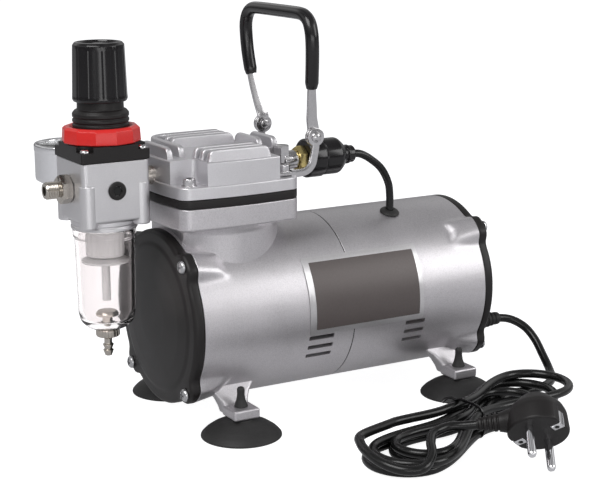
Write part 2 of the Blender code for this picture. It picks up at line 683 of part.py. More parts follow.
def bracket(side, sign):
    """Zinc strap bent out from under the head bolt and up to the handle's pivot."""
    thick = 1.8
    y0 = sign * BRACKET_Y
    base_z = HEAD_BASE_Z[1] + GAP
    tab_y = sorted((sign * 25.5, sign * (BRACKET_Y + thick / 2.0)))
    tab = box(f"handle_bracket_{side}", (55.5, tab_y[0], base_z), (67.0, tab_y[1], base_z + 2.0), CHROME,
              PARTS)
    centre = [(66.0, base_z + 2.0), (72.0, base_z + 1.9), (77.5, base_z + 3.6), (80.2, base_z + 9.0),
              (PIVOT_X, PIVOT_Z - 3.0)]
    width = [4.0, 4.0, 4.4, 4.8, 6.0]
    rings = []
    for i, ((x, z), w) in enumerate(zip(centre, width)):
        ahead = centre[min(i + 1, len(centre) - 1)]
        behind = centre[max(i - 1, 0)]
        along = Vector((ahead[0] - behind[0], ahead[1] - behind[1])).normalized()
        across = Vector((-along.y, along.x)) * w / 2.0
        a, b = y0 - thick / 2.0, y0 + thick / 2.0
        rings.append([(x + across.x, a, z + across.y), (x + across.x, b, z + across.y),
                      (x - across.x, b, z - across.y), (x - across.x, a, z - across.y)])
    join(tab, loft(f"{side}_strap_bend", rings, group=CUTTERS, smooth=False))
    join(tab, rod(f"{side}_bracket_eye", EYE_R, (PIVOT_X, y0 - thick / 2.0, PIVOT_Z), thick, "Y", sides=18))
    cut(tab, rod(f"{side}_bracket_pin_hole", PIN_R + GAP, (PIVOT_X, y0 - 3.0, PIVOT_Z), 6.0, "Y", sides=10))
    spot = head_bolt_spots()[1 if sign < 0 else 2]
    cut(tab, rod(f"{side}_tab_hole", 2.4, (*spot, base_z - 2.0), 8.0, sides=10))


def rivet(side, sign):
    """Round-head pivot pin through the bracket and the handle's eye."""
    outer = BRACKET_Y + 0.9 + GAP
    length = outer - (STRAP_Y - STRAP_T / 2.0 - GAP)
    profile = ((0.0, 1.6), (1.6, 1.3), (2.7, 0.5), (2.9, 0.0), (PIN_R, 0.0), (PIN_R, -length),
               (2.6, -length),
               (2.6, -length - 1.0), (0.0, -length - 1.2))
    pin = turned(f"handle_rivet_{side}", profile, (PIVOT_X, sign * outer, PIVOT_Z), "Y", CHROME, steps=14)
    pin.rotation_euler = (math.radians(-90.0 * sign), 0.0, 0.0)


def handle_route():
    """Middle line of the handle from the near eye over the top to the far eye."""
    rise = [(PIVOT_X, STRAP_Y, PIVOT_Z + 3.0), (79.4, STRAP_Y + 0.1, PIVOT_Z + 7.5), (77.6, 32.2, 178.0),
            (76.0, 34.8, 188.0), (75.2, 36.8, 197.0), (74.6, 38.4, 206.0), (74.2, 39.0, 217.0)]
    bend = [(73.9, 39.0 - 12.0 * (1 - math.cos(a)), 219.0 + 12.0 * math.sin(a))
            for a in (math.radians(15.0 * k) for k in range(1, 7))]
    bend += [(73.8, 14.0, 231.6)]
    near = [Vector((x, -y, z)) for x, y, z in rise + bend]
    far = [Vector((p.x, -p.y, p.z)) for p in reversed(near)]
    return near + [Vector((73.8, 0.0, 231.8))] + far


def swept(name, route, half_x, half_n, count, group, mat=None):
    """Oval or rectangular bar along the handle's middle line."""
    rings = []
    for i, at in enumerate(route):
        along = (route[min(i + 1, len(route) - 1)] - route[max(i - 1, 0)]).normalized()
        across = (Vector((1.0, 0.0, 0.0)) - along * along.x).normalized()
        normal = along.cross(across)
        if count == 4:
            corners = ((1, 1), (-1, 1), (-1, -1), (1, -1))
            ring = [at + across * half_x * u + normal * half_n * v for u, v in corners]
        else:
            ring = [at + across * half_x * math.cos(a) + normal * half_n * math.sin(a)
                    for a in (2.0 * math.pi * k / count for k in range(count))]
        rings.append(ring)
    return loft(name, rings, mat, group, smooth=count > 4)


def handle():
    pivot = bpy.data.objects.new("handle_pivot", None)
    pivot.parent = ROOT
    PARTS.objects.link(pivot)
    place(pivot, (PIVOT_X, 0.0, PIVOT_Z))
    route = handle_route()
    strap = swept("handle_strap", route, STRAP_W / 2.0, STRAP_T / 2.0, 4, PARTS, CHROME)
    for side, sign in (("near", -1), ("far", 1)):
        y0 = sign * STRAP_Y
        join(strap, rod(f"{side}_strap_eye", EYE_R, (PIVOT_X, y0 - STRAP_T / 2.0, PIVOT_Z), STRAP_T, "Y",
                        sides=18))
        cut(strap, rod(f"{side}_strap_pin_hole", PIN_R + GAP, (PIVOT_X, y0 - 3.0, PIVOT_Z), 6.0, "Y",
                       sides=10))
    covered = [p for p in route if p.z > 187.0]
    beyond = [p for p in route if p.z > 177.0]
    grip = swept("handle_grip", covered, 3.5, 3.2, 12, PARTS, GLOSS_BLACK)
    cut(grip, swept("grip_bore", beyond, STRAP_W / 2.0 + GAP, STRAP_T / 2.0 + GAP, 4, CUTTERS))
    for piece in (strap, grip):
        piece.parent = pivot
        piece.location = -pivot.location


# ---------------------------------------------------------------- pressure switch and its lead

def pressure_switch():
    foot_z = HEAD_BASE_Z[1] + GAP
    elbow = rod("elbow_fitting", 4.2, (ELBOW_X, SWITCH_Y, foot_z), 15.0, "Z", CHROME, PARTS, 6)
    join(elbow, rod("elbow_boss", 5.4, (ELBOW_X, SWITCH_Y, SWITCH_Z), 9.0, "X", sides=18))
    nut_x = ELBOW_X + 9.0 + GAP
    rod("brass_nipple", 7.6, (nut_x, SWITCH_Y, SWITCH_Z), 4.8, "X", BRASS, PARTS, 6)
    profile = ((0.0, 33.2), (4.2, 33.2), (5.0, 32.2), (5.0, 25.0), (8.4, 23.5), (10.6, 21.0), (10.6, 10.8),
               (11.3, 10.2),
               (11.3, 1.2), (10.3, 0.0), (0.0, 0.0))
    turned("pressure_switch", profile, (nut_x + 4.8 + GAP, SWITCH_Y, SWITCH_Z), "X", GLOSS_BLACK, steps=24)
    lead_x = nut_x + 4.8 + GAP + 33.2 + GAP
    route = ((lead_x, SWITCH_Y, SWITCH_Z), (lead_x + 5.0, SWITCH_Y, 147.3), (126.0, -17.4, 143.6),
             (134.0, -17.0, 137.0),
             (139.3, -16.4, 128.0), (140.8, -15.9, 120.0), (141.0, -15.6, 114.0))
    tube("switch_lead", smooth_route(route, 2.6), 2.3, CORD_BLACK, 3)


GROMMET_X = 141.0
GROMMET_ANGLE = 18.0


def grommet_place():
    tilt = math.radians(GROMMET_ANGLE)
    return (GROMMET_X, -HOUSING_R * math.sin(tilt), AXIS_Z + HOUSING_R * math.cos(tilt))


def grommet_bore():
    hole = rod("grommet_bore", 4.4, (0.0, 0.0, 0.0), 16.0, sides=12)
    tilt = math.radians(GROMMET_ANGLE)
    inset = HOUSING_R - 10.0
    return place(hole, (GROMMET_X, -inset * math.sin(tilt), AXIS_Z + inset * math.cos(tilt)),
                 (GROMMET_ANGLE, 0.0, 0.0))


def lead_grommet():
    profile = ((0.0, 1.2), (2.6, 1.2), (4.2, 1.5), (5.4, 1.1), (5.9, 0.5), (5.9, 0.35), (4.0, 0.35),
               (4.0, -4.4), (0.0, -4.4))
    place(turned("lead_grommet", profile, (0.0, 0.0, 0.0), "Z", RUBBER, steps=16), grommet_place(),
          (GROMMET_ANGLE, 0.0, 0.0))


# ---------------------------------------------------------------- filter regulator

def regulator():
    x0, x1 = REG_X - REG_HALF, REG_X + REG_HALF
    body = box("regulator_body", (x0, -REG_HALF, REG_BODY_Z[0]), (x1, REG_HALF, REG_BODY_Z[1]), CAST,
               PARTS, 1.2)
    for n, (sx, sy) in enumerate(((-1, -1), (1, -1), (-1, 1), (1, 1))):
        spot = (REG_X + sx * (REG_HALF - 4.2), sy * (REG_HALF - 4.2), REG_BODY_Z[0] - 0.2)
        join(body, rod(f"body_boss_{n}", 4.9, spot, 24.0, sides=12))
    join(body, rod("bowl_collar", 18.4, (REG_X, 0.0, REG_BODY_Z[0] - 3.0), 4.0, sides=26))
    cut(body, rod("body_chamber", 13.5, (REG_X, 0.0, REG_BODY_Z[0] - 5.0), 20.0, sides=22))
    cut(body, rod("spring_well", 9.5, (REG_X, 0.0, 150.0), 10.0, sides=18))
    for name, start, axis in (("outlet_port", (x0 - 2.0, 0.0, PORT_Z), "X"),
                              ("inlet_port", (x1 - 8.0, 0.0, PORT_Z), "X"),
                              ("plug_port", (REG_X, -REG_HALF - 2.0, PORT_Z), "Y"),
                              ("gauge_port", (REG_X, REG_HALF - 8.0, PORT_Z), "Y")):
        cut(body, rod(name, 4.9, start, 10.0, axis, sides=12))


def bonnet():
    base = box("bonnet", (REG_X - 20.0, -20.0, BONNET_Z[0]), (REG_X + 20.0, 20.0, BONNET_Z[1]),
               BLACK_PLASTIC, PARTS, 0.8)
    tower = ((0.0, TOWER_Z + 1.0), (12.6, TOWER_Z + 1.0), (12.8, TOWER_Z + 0.6), (14.2, TOWER_Z),
             (15.5, TOWER_Z - 1.6),
             (15.5, 165.4), (17.5, 165.4), (17.5, 160.0), (0.0, 160.0))
    join(base, turned("bonnet_tower", tower, (REG_X, 0.0, 0.0), group=CUTTERS, steps=26))
    for n, (sx, sy) in enumerate(((-1, -1), (1, -1), (-1, 1), (1, 1))):
        cx, cy = REG_X + sx * 19.5, sy * 19.5
        cut(base, box(f"bonnet_notch_{n}", (cx - 4.6, cy - 4.6, 159.8), (cx + 4.6, cy + 4.6, 170.0)))
    cut(base, rod("spring_chamber", 9.5, (REG_X, 0.0, 156.0), 20.0, sides=18))
    cut(base, rod("screw_hole", 4.4, (REG_X, 0.0, 170.0), 20.0, sides=12))
    turned("lock_ring", ((19.6, RING_Z[1]), (20.8, RING_Z[1] - 0.8), (21.7, RING_Z[0] + 0.6),
                         (21.3, RING_Z[0]),
                         (15.8, RING_Z[0]), (15.8, RING_Z[1] - 1.6),
                         (17.2, RING_Z[1])), (REG_X, 0.0, 0.0), "Z", RED, steps=26)


def regulator_spring():
    """Pressure spring under the adjusting screw."""
    turns, per_turn = 5, 10
    points = []
    for i in range(turns * per_turn + 1):
        turn = 2.0 * math.pi * i / per_turn
        points.append((REG_X + 7.0 * math.cos(turn), 7.0 * math.sin(turn), 152.0 + 3.0 * i / per_turn))
    tube("regulator_spring", points, 0.9, STEEL, 1)


def pressure_knob():
    turned("adjusting_screw", ((0.0, 199.0), (3.6, 199.0), (4.0, 198.4), (4.0, 174.0), (6.8, 173.6),
                               (6.8, 170.2), (0.0, 170.2)),
           (REG_X, 0.0, 0.0), "Z", STEEL, steps=14)
    top, low = KNOB_Z[1], KNOB_Z[0]
    shape = ((0.0, top - 0.8), (10.6, top - 0.8), (11.2, top), (12.8, top - 0.3), (14.0, top - 1.8),
             (14.9, low + 3.0), (15.1, low + 1.4),
             (14.2, low), (13.4, low), (13.4, KNOB_ROOF_Z), (0.0, KNOB_ROOF_Z))
    turned("pressure_knob", shape, (REG_X, 0.0, 0.0), "Z", GLOSS_BLACK, steps=24)


def filter_bowl():
    low, high = BOWL_Z
    wall = ((17.4, high), (17.6, high - 0.6), (17.5, 113.4), (16.7, 112.4), (16.6, 106.0), (15.9, 69.5),
            (14.6, 64.5), (11.0, 61.2),
            (7.0, low), (3.3, low), (3.3, low + 2.4), (8.0, low + 2.6), (12.4, 66.0), (13.9, 70.0),
            (14.6, 106.0), (14.9, high))
    turned("filter_bowl", wall, (REG_X, 0.0, 0.0), "Z", CLEAR, steps=26)
    element = ((0.0, 134.0), (3.0, 134.0), (3.0, 116.0), (10.4, 116.0), (10.7, 115.0), (10.7, 103.0),
               (10.2, 102.0), (5.0, 101.6),
               (13.2, 99.6), (13.2, 98.4), (4.0, 98.0), (2.4, 96.0), (2.4, 76.0), (0.0, 75.5))
    turned("filter_element", element, (REG_X, 0.0, 0.0), "Z", WHITE, steps=18)
    drain = ((0.0, 70.0), (5.2, 70.0), (6.4, 68.6), (6.4, 66.8), (2.9, 65.8), (2.9, low - GAP),
             (6.2, low - GAP), (6.7, low - 0.9), (6.7, 56.0),
             (6.2, 55.3), (3.4, 55.0), (2.2, 53.6), (2.2, 51.0), (3.1, 50.4), (2.0, 47.6), (3.0, 47.2),
             (1.8, 43.9), (0.0, 43.9))
    turned("drain_valve", drain, (REG_X, 0.0, 0.0), "Z", NICKEL, steps=16)


def port_fittings():
    x0, x1 = REG_X - REG_HALF, REG_X + REG_HALF
    nut = rod("outlet_fitting", 8.1, (x0 - GAP - 5.8, 0.0, PORT_Z), 5.8, "X", NICKEL, PARTS, 6)
    join(nut, rod("outlet_thread", 4.8, (-70.5, 0.0, PORT_Z), 12.0, "X", sides=18))
    join(nut, rod("outlet_spigot", 4.5, (x0 - 2.0, 0.0, PORT_Z), 7.0, "X", sides=12))
    cut(nut, rod("outlet_bore", 2.6, (-72.0, 0.0, PORT_Z), 24.0, "X", sides=10))
    plug = rod("port_plug", 6.0, (REG_X, -REG_HALF - GAP - 1.2, PORT_Z), 1.2, "Y", BLACK_PLASTIC, PARTS, 28)
    join(plug, rod("plug_spigot", 4.5, (REG_X, -REG_HALF - 0.8, PORT_Z), 7.0, "Y", sides=12))
    cut(plug, rod("plug_socket", 2.6, (REG_X, -REG_HALF - 4.0, PORT_Z), 7.0, "Y", sides=6))
    union_nut = rod("inlet_connector", 7.4, (x1 + GAP, 0.0, PORT_Z), 5.0, "X", NICKEL, PARTS, 6)
    join(union_nut, rod("inlet_spigot", 4.5, (x1 - 5.0, 0.0, PORT_Z), 9.0, "X", sides=12))
    join(union_nut, rod("inlet_riser", 4.6, (x1 + 3.0, 0.0, PORT_Z + 5.0), 13.0, "X", sides=12))
    cut(union_nut, rod("inlet_bore", 2.4, (x1 - 7.0, 0.0, PORT_Z + 1.8), 30.0, "X", sides=10))


def gauge():
    z0, z1 = GAUGE_Z
    cup = ((GAUGE_R - 0.6, z1), (GAUGE_R, z1 - 0.8), (GAUGE_R, z0 + 2.0), (GAUGE_R - 2.0, z0), (0.0, z0),
           (0.0, z1 - 6.0),
           (GAUGE_R - 2.0, z1 - 6.0), (GAUGE_R - 2.0, z1 - 0.4), (GAUGE_R - 1.4, z1))
    start = cup.index((0.0, z1 - 6.0))
    case = turned("gauge_case", cup[start:] + cup[:start], (REG_X, GAUGE_Y, 0.0), "Z", CHROME, steps=26)
    join(case, rod("gauge_stem", 4.5, (REG_X, REG_HALF - 6.0, PORT_Z), 14.0, "Y", sides=12))
    join(case, rod("gauge_hex", 7.0, (REG_X, REG_HALF + GAP, PORT_Z), 13.0, "Y", sides=6))
    needle_z = z1 - 4.2
    outline = [(-4.0, -1.0), (-4.0, 1.0), (2.0, 0.9), (14.0, 0.2), (14.0, -0.2), (2.0, -0.9)]
    needle = prism("gauge_needle", outline, 0.0, 0.6, BLACK_PLASTIC, PARTS)
    place(needle, (REG_X, GAUGE_Y, needle_z), (0.0, 0.0, -135.0))
    join(needle, place(rod("needle_hub", 1.8, (0.0, 0.0, 0.0), 1.6, sides=10),
                       (REG_X, GAUGE_Y, needle_z - 0.3)))


# ---------------------------------------------------------------- mains lead and switch

def power_rocker():
    x = HOUSING_LEN + GAP + REAR_COVER_T
    box("power_rocker", (x - 6.0, 8.5, 45.4), (x - 0.4, 20.5, 62.6), RED, PARTS, 0.6)


def mains_lead():
    gland = ((3.3, GLAND_LEN), (3.9, GLAND_LEN - 0.6), (4.2, GLAND_LEN * 0.6), (4.9, GLAND_LEN * 0.25),
             (5.6, 3.6), (7.2, 3.0),
             (7.2, 0.8), (3.9, 0.8), (3.9, -7.0), (2.0, -7.0), (2.0, GLAND_LEN - 6.0),
             (3.0, GLAND_LEN - 6.0), (3.0, GLAND_LEN))
    turned("cord_gland", gland, CORD_EXIT, "X", RUBBER, steps=16)
    tube("mains_cord", smooth_route(CORD_ROUTE, 5.0), CORD_R, CORD_BLACK, 3)
    prism_hank()
    plug()


def prism_hank():
    """Outer shape of the tied hank: two round-ended lobes with a narrow waist."""
    half = []
    steps = 16
    for i in range(steps + 1):
        u = -1.0 + 2.0 * i / steps
        edge = math.sqrt(max(0.0, 1.0 - abs(u) ** 3.2))
        waist = HANK_WAIST / HANK_HALF_W
        width = HANK_HALF_W * edge * (waist + (1.0 - waist) * (1.0 - math.exp(-((u / 0.42) ** 2))))
        half.append((u * HANK_HALF_LEN, width))
    outline = half[:-1] + [(x, -w) for x, w in reversed(half[1:])]
    hank = prism("cord_hank", outline, 0.2, HANK_H, CORD_BLACK, PARTS)
    place(hank, (*HANK_CENTRE, 0.0), (0.0, 0.0, HANK_TURN))


def relief_point(reach):
    """Point of the strain relief's axis at a distance from the plug's middle."""
    turn = math.radians(RELIEF_TURN)
    return (reach * math.cos(turn), reach * math.sin(turn), 9.6)


def plug():
    """Angled plug with round pins, lying on its rim and the lower pin."""
    shape = ((0.0, 22.0), (9.0, 21.4), (14.0, 17.5), (PLUG_R - 0.6, 10.0), (PLUG_R, 1.0),
             (PLUG_R - 0.8, 0.0), (0.0, 0.0))
    body = turned("mains_plug", shape, (0.0, 0.0, 0.0), "Z", BLACK_PLASTIC, steps=22)
    pieces = [rod(f"plug_pin_{n}", 2.3, (0.0, 18.0 * n - 27.0, -18.0), 20.0, sides=13) for n in (1, 2)]
    pieces.append(rod("plug_neck", 8.0, relief_point(6.0), 14.0, sides=13, end_radius=6.2))
    pieces.append(rod("plug_relief", 5.4, relief_point(19.0), 13.0, sides=11, end_radius=3.4))
    for piece in pieces[-2:]:
        piece.rotation_euler = [math.radians(a) for a in (0.0, 90.0, RELIEF_TURN)]
    place(body, PLUG_AT, PLUG_TURN)
    for piece in pieces:
        piece.parent = body
        join(body, piece)


def build():
    front_housing()
    rear_housing()
    front_cover()
    rear_cover()
    cover_screws()
    rating_plate()
    suction_feet()
    cylinder_sleeve()
    valve_plate()
    cylinder_head()
    head_bolts()
    shaft_line()
    cooling_fan()
    piston_rod()
    for side, sign in (("near", -1), ("far", 1)):
        bracket(side, sign)
        rivet(side, sign)
    handle()
    pressure_switch()
    lead_grommet()
    regulator()
    bonnet()
    regulator_spring()
    pressure_knob()
    filter_bowl()
    port_fittings()
    gauge()
    power_rocker()
    mains_lead()


build()
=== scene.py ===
"""Looks of a small piston air compressor: finishes, cast and turned surfaces, and its mains lead.

Shapes are worked out in millimetres on the compressor's own axes: X runs along the motor shaft from the
housing's front joint to the rear, Y = 0 is the shaft's plane and Z = 0 is the bench.
"""
import json
from math import copysign, cos, degrees, exp, floor, pi, radians, sin, sqrt

import bmesh
import bpy
from mathutils import Euler, Matrix, Vector


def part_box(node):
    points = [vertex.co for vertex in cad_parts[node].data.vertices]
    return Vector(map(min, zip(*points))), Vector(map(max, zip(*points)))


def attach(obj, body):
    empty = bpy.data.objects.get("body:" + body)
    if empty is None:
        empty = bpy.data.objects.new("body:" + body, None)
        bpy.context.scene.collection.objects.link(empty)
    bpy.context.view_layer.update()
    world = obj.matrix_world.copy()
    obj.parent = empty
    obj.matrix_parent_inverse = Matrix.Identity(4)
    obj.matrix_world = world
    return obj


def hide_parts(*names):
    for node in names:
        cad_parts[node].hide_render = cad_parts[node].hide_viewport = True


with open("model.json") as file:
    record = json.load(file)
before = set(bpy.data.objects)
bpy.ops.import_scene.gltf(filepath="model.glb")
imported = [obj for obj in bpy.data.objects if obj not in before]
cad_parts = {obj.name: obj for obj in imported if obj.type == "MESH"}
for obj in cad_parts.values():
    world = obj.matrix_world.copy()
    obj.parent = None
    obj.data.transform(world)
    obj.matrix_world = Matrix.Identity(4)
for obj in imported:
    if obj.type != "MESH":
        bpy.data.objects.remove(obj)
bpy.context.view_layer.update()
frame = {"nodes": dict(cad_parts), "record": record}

MM = 0.001
GAP = 0.3                       # between neighbouring CAD solids
COVER_JOINT_X = 188.3           # where the rear cover starts on the compressor's axes
SHIFT = Vector((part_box("rear_cover")[0].x / MM - COVER_JOINT_X, 0, 0))


def span(node):
    """Lowest and highest corner of a CAD node on the compressor's axes."""
    low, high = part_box(node)
    return low / MM - SHIFT, high / MM - SHIFT


def middle(node):
    low, high = span(node)
    return (low + high) / 2


# ---- camera, light and floor

CAMERA_AT = (-361.1, -787.2, 299.2)
CAMERA_AZIMUTH, CAMERA_ELEVATION, CAMERA_ROLL = (radians(a) for a in (-29.70, 12.66, -0.33))
CAMERA_LENS = 93.8


def put(name, data):
    """New object in the scene."""
    obj = bpy.data.objects.new(name, data)
    bpy.context.scene.collection.objects.link(obj)
    return obj


def mesh_of(name, bm):
    mesh = bpy.data.meshes.new(name)
    bm.to_mesh(mesh)
    bm.free()
    return mesh


def make_camera():
    back = Vector((sin(CAMERA_AZIMUTH) * cos(CAMERA_ELEVATION),
                   -cos(CAMERA_AZIMUTH) * cos(CAMERA_ELEVATION), sin(CAMERA_ELEVATION)))
    level = Vector((cos(CAMERA_AZIMUTH), sin(CAMERA_AZIMUTH), 0))
    rise = back.cross(level)
    right = level * cos(CAMERA_ROLL) + rise * sin(CAMERA_ROLL)
    up = back.cross(right)
    camera = put("camera", bpy.data.cameras.new("camera"))
    camera.data.lens = CAMERA_LENS
    camera.data.sensor_width = 36
    camera.data.clip_start = 0.05
    place = Matrix((right, up, back)).transposed().to_4x4()
    place.translation = (Vector(CAMERA_AT) + SHIFT) * MM
    camera.matrix_world = place
    bpy.context.scene.camera = camera


def soft_light(name, at, target, size, power):
    lamp = bpy.data.lights.new(name, "AREA")
    lamp.shape = "RECTANGLE"
    lamp.size, lamp.size_y = size
    lamp.energy = power
    obj = put(name, lamp)
    obj.location = at
    obj.rotation_euler = (Vector(target) - Vector(at)).to_track_quat("-Z", "Y").to_euler()


def fill(tree, made, inputs):
    """Sets inputs to numbers, or joins them to other nodes' outputs."""
    for key, value in dict(inputs).items():
        if isinstance(value, bpy.types.NodeSocket):
            tree.links.new(value, made.inputs[key])
        else:
            made.inputs[key].default_value = value
    return made


def node(tree, kind, inputs=()):
    return fill(tree, tree.nodes.new("ShaderNode" + kind), inputs)


def sums(tree, operation, *inputs):
    made = node(tree, "Math", enumerate(inputs))
    made.operation = operation
    return made.outputs[0]


def mixed(tree, share, first, second):
    return node(tree, "MixShader", {0: share, 1: first, 2: second}).outputs[0]


def fresh_tree(owner):
    owner.use_nodes = True
    owner.node_tree.nodes.clear()
    return owner.node_tree


def seen_straight(tree):
    """Whether a ray is glossy, and whether it comes from the camera or through something clear."""
    path = node(tree, "LightPath").outputs
    return path["Is Glossy Ray"], sums(tree, "MAXIMUM", path["Is Camera Ray"], path["Is Transmission Ray"])


def make_world():
    """White to the camera; a softly banded grey room in reflections."""
    world = bpy.data.worlds.new("studio")
    bpy.context.scene.world = world
    tree = fresh_tree(world)
    is_glossy, straight = seen_straight(tree)
    white = node(tree, "Background", {"Strength": 1})
    room = node(tree, "Background", {"Color": (0.95, 0.96, 1, 1), "Strength": 0.42})
    coords = node(tree, "TexCoord").outputs["Generated"]
    ramp = node(tree, "ValToRGB", {0: node(tree, "SeparateXYZ", {0: coords}).outputs["Z"]})
    stops = ramp.color_ramp.elements
    stops[0].color = (0.15, 0.15, 0.155, 1)
    stops[1].color = (0.42, 0.42, 0.43, 1)
    for position, grey in ((0.5, 1), (0.6, 0.7), (0.74, 0.45)):
        stops.new(position).color = (grey, grey, grey, 1)
    wave = node(tree, "TexWave", {"Scale": 0.55, "Distortion": 1.5, "Vector": coords})
    bands = node(tree, "MixRGB", {0: 0.5, 1: ramp.outputs[0], 2: wave.outputs["Color"]})
    bands.blend_type = "MULTIPLY"
    glossy = node(tree, "Background", {"Color": bands.outputs[0]})
    unseen = mixed(tree, is_glossy, room.outputs[0], glossy.outputs[0])
    node(tree, "OutputWorld", {0: mixed(tree, straight, unseen, white.outputs[0])})


FLOOR_GLOW, FLOOR_IN_GLOSS = 0.92, 0.2


def make_floor():
    bm = bmesh.new()
    bmesh.ops.create_grid(bm, x_segments=8, y_segments=8, size=4)
    mesh = mesh_of("floor", bm)
    floor = put("floor", mesh)
    floor.location.z = -0.0002
    mat = bpy.data.materials.new("floor_white")
    tree = fresh_tree(mat)
    is_glossy, straight = seen_straight(tree)
    shown = sums(tree, "MULTIPLY_ADD", is_glossy, FLOOR_IN_GLOSS, straight)
    glow = node(tree, "Emission", {"Strength": sums(tree, "MULTIPLY", shown, FLOOR_GLOW)})
    matt = node(tree, "BsdfDiffuse", {"Color": (0.42, 0.42, 0.43, 1)})
    both = node(tree, "AddShader", {0: matt.outputs[0], 1: glow.outputs[0]})
    node(tree, "OutputMaterial", {"Surface": both.outputs[0]})
    mesh.materials.append(mat)


make_camera()
make_world()
make_floor()
soft_light("key", (-0.9, -0.5, 1.25), (0, 0, 0.08), (1, 0.8), 14)
soft_light("side", (1.1, -1.1, 0.75), (0, 0, 0.08), (0.7, 0.9), 7)
soft_light("low_front", (-0.35, -1.5, 0.2), (0, 0, 0.08), (1.4, 0.3), 3.6)
bpy.context.scene.view_settings.view_transform = "Standard"


# ---- finishes

def noise(tree, coords, scale, detail=3):
    return node(tree, "TexNoise", {"Scale": scale, "Detail": detail, "Vector": coords}).outputs[0]


def ranged(tree, value, low, high):
    return node(tree, "MapRange", {"Value": value, "To Min": low, "To Max": high}).outputs[0]


def start_finish(name):
    mat = bpy.data.materials.new(name)
    mat.use_nodes = True
    return mat, mat.node_tree, node(mat.node_tree, "TexCoord").outputs["Object"]


def set_shader(tree, inputs, strength, distance, height):
    """Numbers and outputs for the surface's shader, and its fine relief."""
    relief = node(tree, "Bump", {"Strength": strength, "Distance": distance, "Height": height})
    fill(tree, tree.nodes["Principled BSDF"], {**inputs, "Normal": relief.outputs[0]})


def finish_of(name, dark, light, rough, metallic=0, grain=900, bump=0.03, patch=45, coat=0, cells=False,
              lines=None):
    """Surface with fine grain in its colour and relief, and slow patches in its gloss."""
    mat, tree, coords = start_finish(name)
    if cells:
        fine = node(tree, "TexVoronoi", {"Scale": grain, "Detail": 4, "Vector": coords}).outputs["Color"]
    else:
        fine = noise(tree, coords, grain, 4)
    slow = noise(tree, coords, patch)
    share = sums(tree, "MULTIPLY_ADD", fine, 0.6, ranged(tree, slow, 0.05, 0.45))
    colour = node(tree, "MixRGB", {0: share, 1: (*dark, 1), 2: (*light, 1)}).outputs[0]
    height = fine
    if lines:
        wave = node(tree, "TexWave", {"Scale": lines[1], "Distortion": 0.6, "Vector": coords})
        wave.bands_direction = lines[0]
        height = wave.outputs["Fac"]
    set_shader(tree, {"Base Color": colour, "Roughness": ranged(tree, slow, *rough), "Metallic": metallic,
                      "Coat Weight": coat, "Coat Roughness": 0.15,
                      "Specular IOR Level": 0.5 if metallic else 0.32}, bump, 0.0004, height)
    return mat


def clear_finish(name, colour, rough, ior):
    mat, tree, coords = start_finish(name)
    slow = noise(tree, coords, 120)
    set_shader(tree, {"Base Color": (*colour, 1), "Transmission Weight": 1, "IOR": ior,
                      "Roughness": ranged(tree, slow, *rough)}, 0.05, 0.0003, slow)
    return mat


PAINT = finish_of("silver_paint", (0.36, 0.35, 0.365), (0.62, 0.60, 0.62), (0.34, 0.44), 0.85, 2600, 0.12,
                  coat=0.25, cells=True)
CAST = finish_of("cast_aluminium", (0.55, 0.54, 0.56), (0.74, 0.73, 0.75), (0.36, 0.5), 0.9, 1500, 0.25)
SATIN_CAST = finish_of("satin_die_casting", (0.58, 0.57, 0.59), (0.74, 0.73, 0.74), (0.3, 0.42), 0.9, 2200,
                       0.2)
BLACK = finish_of("black_plastic", (0.007, 0.006, 0.006), (0.016, 0.014, 0.014), (0.36, 0.48), 0, 1800, 0.12)
GLOSS = finish_of("gloss_black_plastic", (0.004, 0.0035, 0.004), (0.009, 0.008, 0.009), (0.16, 0.24), 0,
                  900, 0.02, coat=0.3)
RUBBER = finish_of("black_rubber", (0.012, 0.012, 0.012), (0.032, 0.031, 0.031), (0.45, 0.62), 0, 1300, 0.2)
STEEL = finish_of("machined_steel", (0.42, 0.42, 0.43), (0.62, 0.62, 0.63), (0.22, 0.34), 1, 1600, 0.1)
ZINC = finish_of("bright_zinc", (0.46, 0.45, 0.46), (0.68, 0.67, 0.68), (0.14, 0.26), 1, 700, 0.05)
CHROME = finish_of("gauge_chrome", (0.72, 0.72, 0.74), (0.88, 0.88, 0.9), (0.07, 0.13), 1, 500, 0.02)
BRASS = finish_of("brass", (0.62, 0.47, 0.16), (0.86, 0.72, 0.34), (0.18, 0.32), 1, 1200, 0.06)
NICKEL = finish_of("nickel_plate", (0.4, 0.37, 0.33), (0.62, 0.58, 0.53), (0.16, 0.3), 1, 1000, 0.08)
RED = finish_of("red_plastic", (0.55, 0.012, 0.012), (0.74, 0.03, 0.025), (0.25, 0.36), 0, 1200, 0.05,
                coat=0.2)
WHITE = finish_of("white_plastic", (0.66, 0.66, 0.66), (0.86, 0.86, 0.86), (0.45, 0.6), 0, 900, 0.15)
DIAL = finish_of("dial_face", (0.8, 0.8, 0.8), (0.88, 0.88, 0.88), (0.4, 0.5), 0, 600, 0.02)
COPPER = finish_of("copper_winding", (0.05, 0.025, 0.015), (0.12, 0.06, 0.03), (0.3, 0.45), 0.9, 1100, 0.3)
FOIL = finish_of("plate_foil", (0.52, 0.51, 0.52), (0.72, 0.71, 0.72), (0.26, 0.38), 0.85, 900, 0.06,
                 lines=("X", 900))
PLATE_DARK = finish_of("plate_dark", (0.075, 0.062, 0.06), (0.11, 0.094, 0.09), (0.34, 0.46), 0.2, 900, 0.05)
# Near-black finish: painted shade in the outlet's bore, the port plug's hex socket and the plug's clip holes,
# and the dark joint line between the two housing halves.
HOLE_SHADE_AND_JOINT = finish_of("painted_hole_shade_and_joint", (0.004, 0.004, 0.004), (0.012, 0.012, 0.012), (0.5, 0.7), 0, 900, 0.05)
CORD = finish_of("cord_pvc", (0.003, 0.003, 0.003), (0.008, 0.008, 0.008), (0.2, 0.3), 0, 700, 0.05,
                 coat=0.15)
CLEAR = clear_finish("clear_polycarbonate", (0.86, 0.83, 0.83), (0.04, 0.12), 1.42)
